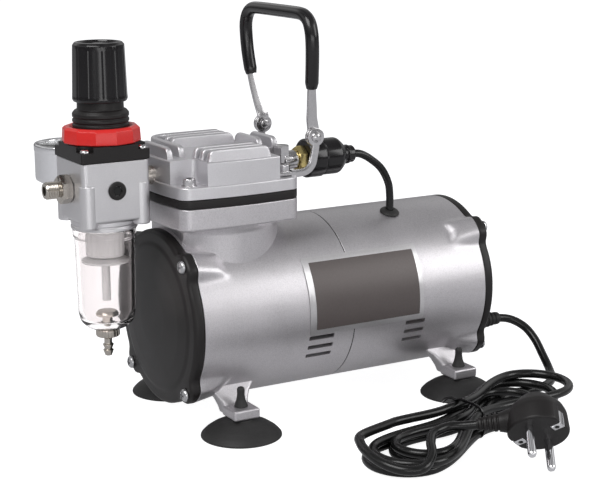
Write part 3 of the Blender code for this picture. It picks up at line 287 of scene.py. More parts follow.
GLASS = clear_finish("gauge_glass", (0.97, 0.98, 0.98), (0.01, 0.03), 1.2)

SLOT_FINISH = {
    "silver_paint": PAINT, "cast_aluminium": CAST, "black_plastic": BLACK, "gloss_black_plastic": GLOSS,
    "black_rubber": RUBBER, "machined_steel": STEEL, "bright_zinc": ZINC, "brass": BRASS, "plate_foil": FOIL,
    "nickel_plate": NICKEL, "red_plastic": RED, "clear_polycarbonate": CLEAR, "white_plastic": WHITE,
    "copper_winding": COPPER, "cord_pvc": CORD,
}
SLOT_OF = {row["node"]: row["material_slot"] for row in frame["record"]["subparts"]}
for name, obj in frame["nodes"].items():
    obj.data.materials.clear()
    obj.data.materials.append(SLOT_FINISH[SLOT_OF[name]])


# ---- shaping helpers

AXES = {"X": Matrix.Rotation(pi / 2, 3, "Y"), "-X": Matrix.Rotation(-pi / 2, 3, "Y"),
        "Y": Matrix.Rotation(-pi / 2, 3, "X"), "-Y": Matrix.Rotation(pi / 2, 3, "X"),
        "Z": Matrix.Identity(3), "-Z": Matrix.Rotation(pi, 3, "X")}


def moved(bm, at=(0, 0, 0), axis="Z", turn=None):
    spin = AXES[axis].to_4x4() if turn is None else turn
    bmesh.ops.transform(bm, matrix=Matrix.Translation(at) @ spin, verts=bm.verts)
    return bm


def soften(points, radius, steps=3, closed=False):
    """Outline or profile with its corners rounded."""
    out = []
    last = len(points) - 1
    for i, point in enumerate(points):
        if not closed and i in (0, last):
            out.append(tuple(point))
            continue
        before, here, after = Vector(points[i - 1]), Vector(point), Vector(points[(i + 1) % len(points)])
        reach = min(radius, 0.45 * (before - here).length, 0.45 * (after - here).length)
        if reach < 0.02:
            out.append(tuple(point))
            continue
        start = here + (before - here).normalized() * reach
        end = here + (after - here).normalized() * reach
        for k in range(steps + 1):
            t = k / steps
            out.append(tuple(start.lerp(here, t).lerp(here.lerp(end, t), t)))
    return out


def rod(radius, z0, z1):
    """Profile of a plain round bar."""
    return [(0, z0), (radius, z0), (radius, z1), (0, z1)]


def square(x0, x1, y0, y1):
    return [(x0, y0), (x1, y0), (x1, y1), (x0, y1)]


def skin(bm, rings, closed=False):
    """Faces between rings of points, and over the first and last ring."""
    width = len(rings[0])
    for a, b in zip(rings, rings[1:] + (rings[:1] if closed else [])):
        for k in range(width):
            bm.faces.new((a[k], a[(k + 1) % width], b[(k + 1) % width], b[k]))
    if not closed:
        bm.faces.new(rings[0][::-1])
        bm.faces.new(rings[-1])
    return bm


def lathe(profile, steps=96, at=(0, 0, 0), axis="Z", ripple=None):
    """Turned solid from (radius, height) points; ripple(angle, radius, height) may change a radius."""
    bm = bmesh.new()
    rows = []
    for r, h in profile:
        if r < 1e-6:
            rows.append([bm.verts.new((0, 0, h))])
            continue
        row = []
        for k in range(steps):
            a = 2 * pi * k / steps
            reach = ripple(a, r, h) if ripple else r
            row.append(bm.verts.new((reach * cos(a), reach * sin(a), h)))
        rows.append(row)
    pairs = list(zip(rows, rows[1:]))
    if len(rows[0]) > 1 and len(rows[-1]) > 1:
        pairs.append((rows[-1], rows[0]))
    for a, b in pairs:
        for k in range(steps):
            ring = [a[k % len(a)], a[(k + 1) % steps % len(a)], b[(k + 1) % steps % len(b)], b[k % len(b)]]
            corners = list(dict.fromkeys(ring))
            if len(corners) > 2:
                bm.faces.new(corners)
    return moved(bm, at, axis)


def inset(outline, width):
    """Outline moved inwards by a width."""
    area = sum(a[0] * b[1] - b[0] * a[1] for a, b in zip(outline, outline[1:] + outline[:1]))
    sign = 1 if area > 0 else -1
    out = []
    for i, point in enumerate(outline):
        before, here, after = Vector(outline[i - 1]), Vector(point), Vector(outline[(i + 1) % len(outline)])
        a, b = (here - before).normalized(), (after - here).normalized()
        normal = Vector((-(a.y + b.y), a.x + b.x)).normalized() * sign
        across = Vector((-a.y, a.x)) * sign
        out.append(tuple(here + normal * width / max(0.5, normal.dot(across))))
    return out


def slab(outline, z0, z1, top=0.5, bottom=0.3, steps=4):
    """Outline raised between two heights, with its rims rounded."""
    outline = [tuple(p) for p in outline]
    levels = []
    for width, z, sense in ((bottom, z0, 1), (top, z1, -1)):
        part = [(outline, z)] if width == 0 else [
            (inset(outline, width * (1 - sin(a))), z + sense * width * (1 - cos(a)))
            for a in (0.5 * pi * k / steps for k in range(steps + 1))]
        levels += part if sense > 0 else part[::-1]
    bm = bmesh.new()
    return skin(bm, [[bm.verts.new((x, y, z)) for x, y in ring] for ring, z in levels])


def block(low, high, radius=0.6, steps=3):
    """Box between two corners with rounded edges."""
    bm = bmesh.new()
    bmesh.ops.create_cube(bm, size=1)
    for vert in bm.verts:
        vert.co = Vector([(a + b) / 2 + v * (b - a) for a, b, v in zip(low, high, vert.co)])
    if radius:
        bmesh.ops.bevel(bm, geom=list(bm.edges), offset=radius, segments=steps, profile=0.5, affect="EDGES",
                        clamp_overlap=True)
    return bm


def frames_along(route, closed=False):
    """Tangent, side and rise at each point of a route, without twist."""
    count = len(route)
    out = []
    side = None
    for i in range(count):
        ahead = route[(i + 1) % count] if closed else route[min(i + 1, count - 1)]
        behind = route[i - 1] if closed else route[max(i - 1, 0)]
        along = (ahead - behind).normalized()
        if side is None:
            side = along.orthogonal().normalized()
        side = (side - along * side.dot(along)).normalized()
        out.append((along, side, along.cross(side)))
    return out


def sweep(route, section, first_side=None, closed=False):
    """Section of (side, rise) points carried along a route; a section may be a list, one for each point."""
    route = [Vector(p) for p in route]
    bm = bmesh.new()
    side = Vector(first_side) if first_side else None
    rows = []
    for i, (along, free_side, _) in enumerate(frames_along(route, closed)):
        side = free_side if side is None else (side - along * side.dot(along)).normalized()
        rise = along.cross(side)
        points = section[i] if isinstance(section[0], list) else section
        rows.append([bm.verts.new(route[i] + side * u + rise * v) for u, v in points])
    return skin(bm, rows, closed)


def oval(half_u, half_v, count=20):
    return [(half_u * cos(a), half_v * sin(a)) for a in (2 * pi * k / count for k in range(count))]


def arc(cx, cy, radius, start, end, steps):
    angles = [radians(start + (end - start) * i / steps) for i in range(steps + 1)]
    return [(cx + radius * cos(a), cy + radius * sin(a)) for a in angles]


def hexagon(radius):
    return [(radius * cos(radians(60 * k)), radius * sin(radians(60 * k))) for k in range(6)]


def merged(*meshes):
    """Several closed shapes in one mesh, where they only touch."""
    whole = bmesh.new()
    for bm in meshes:
        mesh = mesh_of("piece", bm)
        whole.from_mesh(mesh)
        bpy.data.meshes.remove(mesh)
    return whole


def solid(bm, name):
    bmesh.ops.recalc_face_normals(bm, faces=bm.faces)
    return put(name, mesh_of(name, bm))


JOIN, CUT = "UNION", "DIFFERENCE"


def carved(bm, steps):
    """The shape after a list of (JOIN or CUT, other shape) steps."""
    base = solid(bm, "base")
    others = []
    for operation, other in steps:
        tool = solid(other, "tool")
        others.append(tool)
        step = base.modifiers.new("step", "BOOLEAN")
        step.operation = operation
        step.solver = "EXACT"
        step.object = tool
    bpy.context.view_layer.update()
    evaluated = base.evaluated_get(bpy.context.evaluated_depsgraph_get())
    result = bmesh.new()
    result.from_mesh(evaluated.to_mesh())
    evaluated.to_mesh_clear()
    for obj in (base, *others):
        mesh = obj.data
        bpy.data.objects.remove(obj)
        bpy.data.meshes.remove(mesh)
    return result


def piece(bm, name, mat, *replaced, body="frame", smooth=35, like=None, weighted=False):
    """Puts a shape made on the compressor's axes into the frame, on its body and in place of CAD nodes."""
    bmesh.ops.recalc_face_normals(bm, faces=bm.faces)
    for vert in bm.verts:
        vert.co = (vert.co + SHIFT) * MM
    mesh = mesh_of(name, bm)
    mesh.materials.append(mat)
    mesh.shade_smooth()
    mesh.set_sharp_from_angle(angle=radians(smooth))
    obj = put(name, mesh)
    if weighted:
        obj.modifiers.new("WeightedNormal", "WEIGHTED_NORMAL").keep_sharp = True
    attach(obj, body)
    if replaced:
        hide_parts(*replaced)
    return obj


# ---- motor housing

AXIS_Z = middle("rear_cover").z
HOUSING_R = 50
WALL = 5
SPLIT_X = span("rear_housing")[0].x - GAP / 2
HOUSING_LEN = COVER_JOINT_X - GAP
EAR_OFFSET, EAR_LIFT = 36.5, 5.5    # of the screw bosses, from the axis and out of the shell
HEAD_X = middle("valve_plate").x
HEAD_HALF, HEAD_BULGE = 37, 2
FOOT_Y = 47
FOOT_X = tuple(middle(f"suction_foot_{end}_near").x for end in ("front", "rear"))
PAD_HALF, PAD_LOW, PAD_HIGH = 8, 11, 17
EARS = [(y, AXIS_Z + z) for y in (-EAR_OFFSET, EAR_OFFSET) for z in (-EAR_OFFSET, EAR_OFFSET)]


def head_outline(half=HEAD_HALF, bulge=HEAD_BULGE, corner=7):
    """Square with round corners and bowed sides, centred on the cylinder."""
    points = []
    flat = half - corner
    for quarter in range(4):
        turn = Matrix.Rotation(radians(90 * quarter), 2)
        side = [(half + bulge * (1 - (k / 6) ** 2), flat * k / 6) for k in range(-5, 6)]
        for point in side + arc(flat, flat, corner, 0, 90, 10):
            x, y = turn @ Vector(point)
            points.append((HEAD_X + x, y))
    return points


def ridge(angle):
    """How far the screw bosses stand out of the housing's circle at an angle, from 0 to 1."""
    off = degrees(angle) % 90 - 45
    return 1 / (1 + exp((abs(off) - 8.6) / 1.25))


def shell(x0, x1, bosses):
    """Cylinder whose four screw bosses run out into its side; bosses is +1 at its start or -1 at its end."""
    count = max(2, round((x1 - x0) / 1.6))
    rings = [(HOUSING_R, x0 + 0.15 + (x1 - x0 - 0.3) * k / count) for k in range(count + 1)]

    def stand_out(a, r, h):
        depth = h - x0 if bosses > 0 else x1 - h
        off = degrees(a) % 90 - 45
        fade = 1 / (1 + exp((depth - 16 - 0.25 * abs(off)) / 0.9))
        taper = 1 - 0.035 * min(depth, 16)
        return r + (EAR_LIFT * ridge(a) * fade * taper if r > HOUSING_R - 1 else 0)

    return lathe([(0, x0), (HOUSING_R - 0.15, x0), *rings, (HOUSING_R - 0.15, x1), (0, x1)], 240,
                 (0, 0, AXIS_Z), "X", ripple=stand_out)


def bore(radius, x0, x1, z=None, y=0, steps=72):
    return lathe(rod(radius, x0, x1), steps, (0, y, AXIS_Z if z is None else z), "X")


def leg(x, sign, spread):
    """Cast leg that flares from the pad up to the housing."""
    rings = []
    for t in (0, 0.15, 0.35, 0.6, 0.8, 1):
        flare = t ** 2.4
        x0 = x - PAD_HALF + 0.6 + (spread[0] - x + PAD_HALF) * flare
        x1 = x + PAD_HALF - 0.6 + (spread[1] - x - PAD_HALF) * flare
        y_out = 45 - 12.5 * t ** 1.1
        y_in = 33 - 14 * t
        z = PAD_LOW + 1 + 18 * t
        rings.append([Vector((u, sign * v, z)) for u, v in
                      soften(square(x0, x1, y_in, y_out), 3.2, 4, True)])
    bm = bmesh.new()
    return skin(bm, [[bm.verts.new(p) for p in ring] for ring in rings])


def feet_and_legs(x, spread):
    made = []
    for sign in (-1, 1):
        low, high = sorted((sign * (FOOT_Y - PAD_HALF), sign * (FOOT_Y + PAD_HALF)))
        made += [(JOIN, leg(x, sign, spread)),
                 (JOIN, block((x - PAD_HALF, low, PAD_LOW), (x + PAD_HALF, high, PAD_HIGH), 1.2))]
    return made


def vents(x0, x1):
    """Three slots a side, cut square to the wall."""
    made = []
    for sign in (-1, 1):
        for angle in (14, 21, 28):
            slot = block((-(x1 - x0) / 2, -7, -1.3), ((x1 - x0) / 2, 7, 1.3), 0.5, 2)
            tilt = radians(angle)
            reach = HOUSING_R - 1
            at = ((x0 + x1) / 2, sign * reach * cos(tilt), AXIS_Z - reach * sin(tilt))
            made.append((CUT, moved(slot, at, turn=Matrix.Rotation(-sign * tilt, 4, "X"))))
    return made


def barrel():
    """Cylinder barrel under the head, flat in front, with a fillet into the flange."""
    bm = bmesh.new()
    rows = []
    for z, r in ((AXIS_Z + 5, 36.5), (100, 36.5), (112.5, 36.5), (114.5, 36.8), (116.2, 37.8), (117.6, 38.6)):
        row = []
        for k in range(96):
            a = 2 * pi * k / 96
            row.append(bm.verts.new((max(1.2, HEAD_X + r * cos(a)), r * sin(a) * 0.999, z)))
        rows.append(row)
    skin(bm, rows)
    bmesh.ops.remove_doubles(bm, verts=bm.verts, dist=0.001)
    return bm


def front_housing():
    steps = [(JOIN, barrel()), (JOIN, slab(head_outline(), 117, 129.5, 0.7, 1.6))]
    steps += feet_and_legs(FOOT_X[0], (1, 44))
    steps += [(CUT, bore(HOUSING_R - WALL, -1, 50)), (CUT, bore(HOUSING_R - WALL, 58, 99))]
    steps += vents(66, 82.5)
    piece(carved(shell(0, SPLIT_X - GAP, 1), steps), "housing_front", PAINT, "front_housing",
          weighted=True)


def rear_housing():
    steps = feet_and_legs(FOOT_X[1], (147, 187.4))
    steps += [(CUT, bore(HOUSING_R - WALL, 90, 162)), (CUT, bore(HOUSING_R - WALL, 170, 199))]
    steps += vents(131.5, 145)
    piece(carved(shell(SPLIT_X + GAP, HOUSING_LEN, -1), steps), "housing_rear", PAINT, "rear_housing",
          weighted=True)


def covers():
    """Black end covers whose rims stand out round the screws; the front one is domed."""
    def ears(a, r, h):
        reach = min(1, max(0, (r - 44) / 4))
        return r + EAR_LIFT * ridge(a) * reach

    disc = soften([(0, 9.5), (16, 9.1), (32, 8.1), (41, 7.1), (43.2, 6.3), (48.6, 6.1),
            (HOUSING_R + 0.1, 4.6), (HOUSING_R + 0.2, 0), (0, 0)], 0.9)
    piece(lathe(disc, 240, (-GAP, 0, AXIS_Z), "-X", ripple=ears), "cover_front", BLACK, "front_cover")
    back = soften([(0, 11.5), (38, 11.5), (43, 10.4), (45, 6.3), (48.8, 6), (HOUSING_R, 4.6), (HOUSING_R, 0),
                   (44, 0), (44, 5), (0, 5)], 0.8)
    low, high = span("power_rocker")
    steps = [(CUT, block((COVER_JOINT_X - 1, low.y - 0.5, low.z - 1.4),
                                  (high.x + 4, high.y + 0.5, high.z + 1.4), 0.4))]
    piece(carved(lathe(back, 240, (COVER_JOINT_X, 0, AXIS_Z), "X", ripple=ears), steps), "cover_rear", BLACK,
          "rear_cover")
    band = lathe([(HOUSING_R - 2.5, -0.6), (HOUSING_R - 0.2, -0.6), (HOUSING_R - 0.2, 0.6),
            (HOUSING_R - 2.5, 0.6)], 144, (SPLIT_X, 0, AXIS_Z), "X")
    piece(band, "joint_line", HOLE_SHADE_AND_JOINT, like="front_cover")


def cross_screw(name, at, axis, *replaced, radius=3.8, height=2.4, mat=STEEL):
    """Pan-head screw with a cross recess."""
    head = lathe(soften([(0, height), (radius * 0.6, height - 0.1), (radius * 0.92, height * 0.6),
            (radius, 0), (0, 0)], 0.6), 36)
    arm = radius * 0.55
    for u, v in ((arm, radius * 0.14), (radius * 0.14, arm)):
        slot = block((-u, -v, height - 1.1), (u, v, height + 1), 0)
        head = carved(head, [(CUT, slot)])
    return piece(moved(head, at, axis), name, mat, *replaced, like="front_cover_screw_1")


def cover_screws():
    for n in range(1, 5):
        spot = middle(f"front_cover_screw_{n}")
        cross_screw(f"cover_screw_{n}", (-2 * GAP - 6, spot.y, spot.z), "-X", f"front_cover_screw_{n}")
    for n, (y, z) in enumerate(EARS, 1):
        cross_screw(f"rear_cover_screw_{n}", (COVER_JOINT_X + 6, y, z), "X")


def curved_panel(x0, x1, angle0, angle1, reach, corner):
    """Thin sheet bent round the housing on the near side; angles rise from the horizontal."""
    outline = soften(square(x0, x1, angle0, angle1), corner, 4, True)
    bm = bmesh.new()
    bm.faces.new([bm.verts.new((x, a, 0)) for x, a in outline])
    cuts = [angle0 + (angle1 - angle0) * k / 20 for k in range(1, 20)]
    for a in cuts:
        bmesh.ops.bisect_plane(bm, geom=list(bm.verts) + list(bm.edges) + list(bm.faces), plane_co=(0, a, 0),
                               plane_no=(0, 1, 0))
    back = bmesh.ops.extrude_face_region(bm, geom=list(bm.faces))
    for vert in (g for g in back["geom"] if isinstance(g, bmesh.types.BMVert)):
        vert.co.z = 0.3
    for vert in bm.verts:
        x, a, lift = vert.co.x, radians(vert.co.y), reach + vert.co.z
        vert.co = (x, -lift * cos(a), AXIS_Z + lift * sin(a))
    return bm


def rating_plate():
    """Bare foil plate with one plain dark field."""
    low, high = span("rating_plate")
    piece(curved_panel(low.x, high.x, -11.5, 40.5, HOUSING_R + 0.25, 1.5), "plate", FOIL, "rating_plate")
    piece(curved_panel(low.x + 4, high.x - 3, -8, 36.5, HOUSING_R + 0.45, 0.5), "plate_field", PLATE_DARK,
          like="rating_plate")


def suction_feet():
    """Rubber cup with a thin lip, a collar under the pad and the pull-through nub above it."""
    cup = [(0, 28.4), (1.5, 28.3), (2.2, 27.2), (2.1, 24), (2.6, 21), (3.9, PAD_HIGH + 0.4),
            (3.9, PAD_HIGH + 0.1), (2.9, PAD_HIGH), (2.9, PAD_LOW - 0.1), (7.6, PAD_LOW - 0.2),
            (8.2, PAD_LOW - 1), (12, 8.6), (16.5, 6.4), (20.3, 3.8), (22.2, 1.9), (22.9, 1), (22.9, 0.2),
            (22.2, 0.05), (18, 0.9), (10, 4), (0, 5.2)]
    for end, x in zip(("front", "rear"), FOOT_X):
        for side, sign in (("near", -1), ("far", 1)):
            piece(lathe(soften(cup, 0.5), 72, (x, sign * FOOT_Y, 0)), f"foot_{end}_{side}", RUBBER,
                  f"suction_foot_{end}_{side}")


# ---- cylinder head

PLATE_LOW, PLATE_HIGH = span("valve_plate")
HEAD_BASE, HEAD_STEP, HEAD_BLOCK, FIN_TOP = PLATE_HIGH.z + GAP, 141.6, 154.6, 161


def fin(route, height=FIN_TOP, width=4.4):
    """Rounded wall along a plan route, its ends swept down in a quarter round."""
    base = HEAD_BLOCK - 1
    end_r = 4.6
    total = sum((Vector(b) - Vector(a)).length for a, b in zip(route, route[1:]))
    walked, points, sections = 0, [], []
    fine = [Vector(route[0])]
    for a, b in zip(route, route[1:]):
        steps = max(1, round((Vector(b) - Vector(a)).length / 1))
        fine += [Vector(a).lerp(Vector(b), k / steps) for k in range(1, steps + 1)]
    for i, p in enumerate(fine):
        walked += (p - fine[i - 1]).length if i else 0
        from_end = min(walked, total - walked)
        drop = end_r * (1 - sqrt(max(0, 1 - max(0, 1 - from_end / end_r) ** 2)))
        top = height - base - drop
        soft = min(1.2, top * 0.4)
        foot, crest = width / 2, width / 2 - 0.5
        side = [(foot, 0), (crest, top - soft), *arc(crest - soft, top - soft, soft, 0, 90, 3)[1:]]
        sections.append(side + [(-u, v) for u, v in reversed(side)])
        points.append((p.x, p.y, base))
    start = Vector(fine[1]) - Vector(fine[0])
    return sweep(points, sections, first_side=(-start.y, start.x, 0))


def fin_routes():
    routes = []
    for n in range(3):
        y = 33.6 - 7.6 * n
        routes.append([(11.2 - 0.7 * n, -y), (49.5, -y)])
        if n:
            routes.append([(13, y), (53.8, y)])
    outer = [(6, -12.5), (6, 22), *arc(17, 22.6, 11, 180, 90, 8), (53.8, 33.6)]
    routes.append(outer)
    routes += [[(-3, -16), (-3, 19)], [(56, -11), (56, 18)], [(65.6, -11), (65.6, 18)]]
    return routes


def pocket(x0, x1, y0, y1):
    return slab(soften(square(x0, x1, y0, y1), 3, 4, True), HEAD_STEP, FIN_TOP + 4, 0, 0)


def cylinder_head():
    base = slab(head_outline(), HEAD_BASE, HEAD_STEP, 0.9, 0.4)
    upper = slab(head_outline(HEAD_HALF - 0.8), HEAD_STEP - 1, HEAD_BLOCK, 0.9, 0)
    pockets = [pocket(-16, 9.4, -46, -22), pocket(-16, 9.4, 22, 46), pocket(54.4, 78, -46, -11.6),
               pocket(54.4, 78, 22, 46)]
    upper = carved(upper, [(CUT, p) for p in pockets])
    steps = [(JOIN, upper)] + [(JOIN, fin(route)) for route in fin_routes()]
    piece(carved(base, steps), "head", CAST, "cylinder_head", weighted=True)
    band = slab(head_outline(), PLATE_LOW.z, PLATE_HIGH.z, 0.25, 0.25)
    piece(band, "gasket_band", BLACK, "valve_plate")


def head_bolts():
    """Socket-head screws; the rear pair sits on the handle brackets' tabs."""
    for n in range(1, 5):
        spot, seat = middle(f"head_bolt_{n}"), span(f"head_bolt_{n}")[1].z - 4
        ring = soften([(1.7, seat + 4), (3.2, seat + 4), (3.5, seat + 3.6), (3.5, seat), (0, seat),
                (0, seat + 1.8), (1.7, seat + 1.8)], 0.25)
        knurl = lathe(ring, 60, (spot.x, spot.y, 0),
                      ripple=lambda a, r, h: r + (0.07 if r > 3.4 and int(a * 30 / pi) % 2 else 0))
        washer = lathe(soften(rod(4.4, seat + 0.2, seat - 0.5), 0.2), 40,
                       (spot.x, spot.y, 0))
        piece(merged(knurl, washer), f"bolt_{n}", ZINC, f"head_bolt_{n}")


# ---- carrying handle

PIVOT = middle("handle_rivet_near")
STRAP_Y, BRACKET_Y = 29.8, 31.9
STRAP_T = 1.8


def strap_section(half_w, half_t, soft=0.35):
    return soften([(half_w, half_t), (-half_w, half_t), (-half_w, -half_t), (half_w, -half_t)], soft, 2, True)


def smooth(points, spacing=1.5):
    """Catmull-Rom curve through points, read at about an even spacing."""
    nodes = [Vector(p) for p in points]
    nodes = [2 * nodes[0] - nodes[1], *nodes, 2 * nodes[-1] - nodes[-2]]
    fine = []
    for a, b, c, d in zip(nodes, nodes[1:], nodes[2:], nodes[3:]):
        for step in range(30):
            t = step / 30
            fine.append(0.5 * (2 * b + (c - a) * t + (2 * a - 5 * b + 4 * c - d) * t ** 2
                               + (3 * b - a - 3 * c + d) * t ** 3))
    fine.append(nodes[-2])
    length = sum((q - p).length for p, q in zip(fine, fine[1:]))
    count = max(3, round(length / spacing))
    out, walked = [fine[0]], 0
    for p, q in zip(fine, fine[1:]):
        walked += (q - p).length
        if walked >= length * len(out) / count and len(out) < count:
            out.append(q)
    return out + [fine[-1]]


def handle_route():
    """Middle line from the near eye over the top to the far eye."""
    rise = [(80.2, STRAP_Y, PIVOT.z + 2), (79.6, STRAP_Y, PIVOT.z + 6), (78.4, 30.8, 173), (77.4, 32.6, 179),
            (76, 34.9, 188), (75.2, 36.8, 197), (74.6, 38.3, 206), (74.2, 39, 215), (73.9, 38.6, 222),
            (73.9, 36, 227.6), (73.8, 31.5, 230.6), (73.8, 26, 231.6), (73.8, 13, 231.8)]
    near = [(x, -y, z) for x, y, z in rise]
    return smooth(near + [(73.8, 0, 231.8)] + [(x, -y, z) for x, y, z in reversed(near)], 1.6)


def handle():
    route = handle_route()
    widths = [2.5 + 1 * min(1, max(0, (190 - p.z) / 24)) for p in route]
    strap = sweep(route, [strap_section(w, STRAP_T / 2) for w in widths], first_side=(1, 0, 0))
    steps = []
    for sign in (-1, 1):
        eye = lathe(soften(rod(5.2, 0, STRAP_T), 0.3), 48,
                    (PIVOT.x, sign * STRAP_Y - STRAP_T / 2, PIVOT.z), "Y")
        steps.append((JOIN, eye))
    piece(carved(strap, steps), "strap", ZINC, "handle_strap", body="handle")
    covered = [p for p in route if p.z > 190.6]
    sections = []
    for i in range(len(covered)):
        end = min(i, len(covered) - 1 - i)
        ease = min(1, 0.82 + 0.09 * end)
        sections.append(oval(3.9 * ease, 3.6 * ease, 24))
    piece(sweep(covered, sections, first_side=(1, 0, 0)), "grip", GLOSS, "handle_grip",
          body="handle")


def bracket(side, sign):
    """Zinc strap bent from the tab under the head bolt up to the pivot's eye."""
    y = sign * BRACKET_Y
    base = HEAD_STEP + GAP
    line = smooth([(64, y, base + 1), (69, y, base + 0.9), (74, y, base + 1.7), (77.6, y, base + 4.8),
                   (79, y, base + 9.5), (79.9, y, base + 14), (80.2, y, PIVOT.z - 2)], 1)
    bend = sweep(line, strap_section(1, 2.2), first_side=(0, 1, 0))
    tab_y = sorted((sign * 25.5, sign * (BRACKET_Y + 1)))
    tab = block((55.5, tab_y[0], base), (67, tab_y[1], base + 2), 0.5)
    eye = lathe(soften(rod(5.2, -0.95, 0.95), 0.3), 48, (PIVOT.x, y, PIVOT.z), "Y")
    piece(carved(tab, [(JOIN, bend), (JOIN, eye)]), f"bracket_{side}", ZINC,
          f"handle_bracket_{side}")
    head = lathe(soften([(0, 1.9), (1.6, 1.6), (2.9, 0.7), (3.1, 0), (1.6, 0), (1.6, -4.6), (2.6, -4.6),
                         (2.6, -5.4), (0, -5.6)], 0.3), 36)
    piece(moved(head, (PIVOT.x, sign * (BRACKET_Y + 0.95), PIVOT.z), "Y" if sign > 0 else "-Y"),
            f"rivet_{side}", ZINC, f"handle_rivet_{side}")


# ---- pressure switch and its lead

SWITCH_LOW, SWITCH_HIGH = span("pressure_switch")
SWITCH_Y, SWITCH_Z = middle("pressure_switch").y, middle("pressure_switch").z
NUT_LOW, NUT_HIGH = span("brass_nipple")


def hex_nut(radius, length, chamfer=0.5):
    """Hexagon bar along Z with its corners turned off."""
    bar = slab(hexagon(radius), 0, length, 0, 0)
    round_off = lathe([(0, 0), (radius - chamfer * 1.6, 0), (radius, chamfer), (radius, length - chamfer),
                       (radius - chamfer * 1.6, length), (0, length)], 60)
    return carved(bar, [("INTERSECT", round_off)])


def pressure_switch():
    base = HEAD_STEP + GAP
    elbow = moved(hex_nut(4.9, 15), (66, SWITCH_Y, base))
    boss = lathe(soften(rod(5.4, 0, NUT_LOW.x - GAP - 66), 0.5), 40,
                 (66, SWITCH_Y, SWITCH_Z), "X")
    piece(carved(elbow, [(JOIN, boss)]), "elbow", ZINC, "elbow_fitting")
    piece(moved(hex_nut(7.6, NUT_HIGH.x - NUT_LOW.x), (NUT_LOW.x, SWITCH_Y, SWITCH_Z), "X"), "nipple", BRASS,
          "brass_nipple")
    start = SWITCH_LOW.x
    body = [(0, 33.2), (4.2, 33.2), (5, 32.4), (5, 29.6), (5.6, 29.4), (5.6, 28), (5, 27.8), (5, 26),
            (8, 24.2), (10.2, 21.6), (10.6, 20.4), (10.6, 11.2), (10.2, 10.9), (10.2, 10.3), (11.3, 10),
            (11.3, 1), (10.5, 0), (0, 0)]
    piece(lathe(soften(body, 0.4), 72, (start, SWITCH_Y, SWITCH_Z), "X"), "switch", GLOSS,
          "pressure_switch")


def cable(name, points, radius, mat, body="frame"):
    """Round lead as a curve through points on the compressor's axes."""
    curve = bpy.data.curves.new(name, "CURVE")
    curve.dimensions = "3D"
    curve.bevel_depth = radius * MM
    curve.bevel_resolution = 6
    curve.use_fill_caps = True
    line = curve.splines.new("POLY")
    line.points.add(len(points) - 1)
    for point, at in zip(line.points, points):
        point.co = (*((Vector(at) + SHIFT) * MM), 1)
    curve.materials.append(mat)
    obj = put(name, curve)
    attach(obj, body)
    return obj


def switch_lead():
    x = SWITCH_HIGH.x
    route = [(x - 1, SWITCH_Y, SWITCH_Z), (x + 5.3, SWITCH_Y, SWITCH_Z - 0.7), (126, -17.4, 143.6),
            (134, -17, 137), (139.3, -16.4, 128), (140.8, -15.9, 120), (141, -15.6, 113), (141, -15.3, 108)]
    lead = cable("lead", smooth(route, 1.5), 2.3, CORD)
    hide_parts("switch_lead")
    profile = soften([(0, 1.2), (2.6, 2.2), (3.4, 2.2), (5, 1.5), (5.9, 0.6), (5.9, 0.1), (4, 0), (4, -4),
                      (0, -4)], 0.4)
    tilt = radians(18)
    at = (141, -HOUSING_R * sin(tilt), AXIS_Z + HOUSING_R * cos(tilt))
    piece(moved(lathe(profile, 40), at, turn=Matrix.Rotation(tilt, 4, "X")), "grommet", RUBBER,
          "lead_grommet")


# ---- filter regulator

REG_X = middle("pressure_knob").x
REG_AT = (REG_X, 0, 0)
REG_HALF = 19.7
REG_BASE, REG_TOP = 121, span("regulator_body")[1].z
PORT_Z = middle("outlet_fitting").z
RING_LOW, RING_HIGH = span("lock_ring")
KNOB_LOW, KNOB_HIGH = span("pressure_knob")
BOWL_LOW, BOWL_HIGH = span("filter_bowl")


def reg_square(half):
    return square(REG_X - half, REG_X + half, -half, half)


def corners(offset):
    return [(REG_X + sx * offset, sy * offset) for sx in (-1, 1) for sy in (-1, 1)]


def regulator_body():
    body = slab(soften(reg_square(REG_HALF), 3.2, 6, True), REG_BASE + 2, REG_TOP, 0.4, 2.4)
    steps = []
    for x, y in corners(REG_HALF - 4.2):
        boss = lathe(soften(rod(4.9, REG_BASE, 144.7), 0.9, 4), 48, (x, y, 0))
        steps.append((JOIN, boss))
    collar = [(0, 118), (18.4, 118), (18.4, 119.6), (17.9, 120), (17.9, 120.6), (18.4, 121), (18.4, 124),
              (0, 124)]
    steps.append((JOIN, lathe(soften(collar, 0.3), 80, REG_AT)))
    steps.append((CUT, lathe(rod(13.5, 110, 136), 60, REG_AT)))
    piece(carved(body, steps), "regulator", SATIN_CAST, "regulator_body", weighted=True)


def bonnet():
    base = slab(soften(reg_square(20), 1.4, 4, True), span("bonnet")[0].z, 165.5, 0.5, 0.3)
    steps = []
    for x, y in corners(17.6):
        steps.append((CUT, moved(lathe(rod(5.2, 0, 9), 40), (x, y, 162.6))))
    tower = [(0, 190), (12.6, 190), (12.8, 183.6), (14.2, 183), (15.5, 181.4), (15.5, 179.6), (14.9, 179.2),
            (14.9, 178.6), (15.5, 178.2), (15.5, 176.8), (14.9, 176.4), (14.9, 175.8), (15.5, 175.4),
            (15.5, 165.6), (17.5, 165.4), (17.5, 161), (0, 161)]
    steps.append((JOIN, lathe(soften(tower, 0.25), 80, REG_AT)))
    piece(carved(base, steps), "bonnet_cap", BLACK, "bonnet", weighted=True)
    for n, (x, y) in enumerate(corners(16.6), 1):
        cross_screw(f"bonnet_screw_{n}", (x, y, 162.5), "Z", radius=2.8, height=2, mat=ZINC)


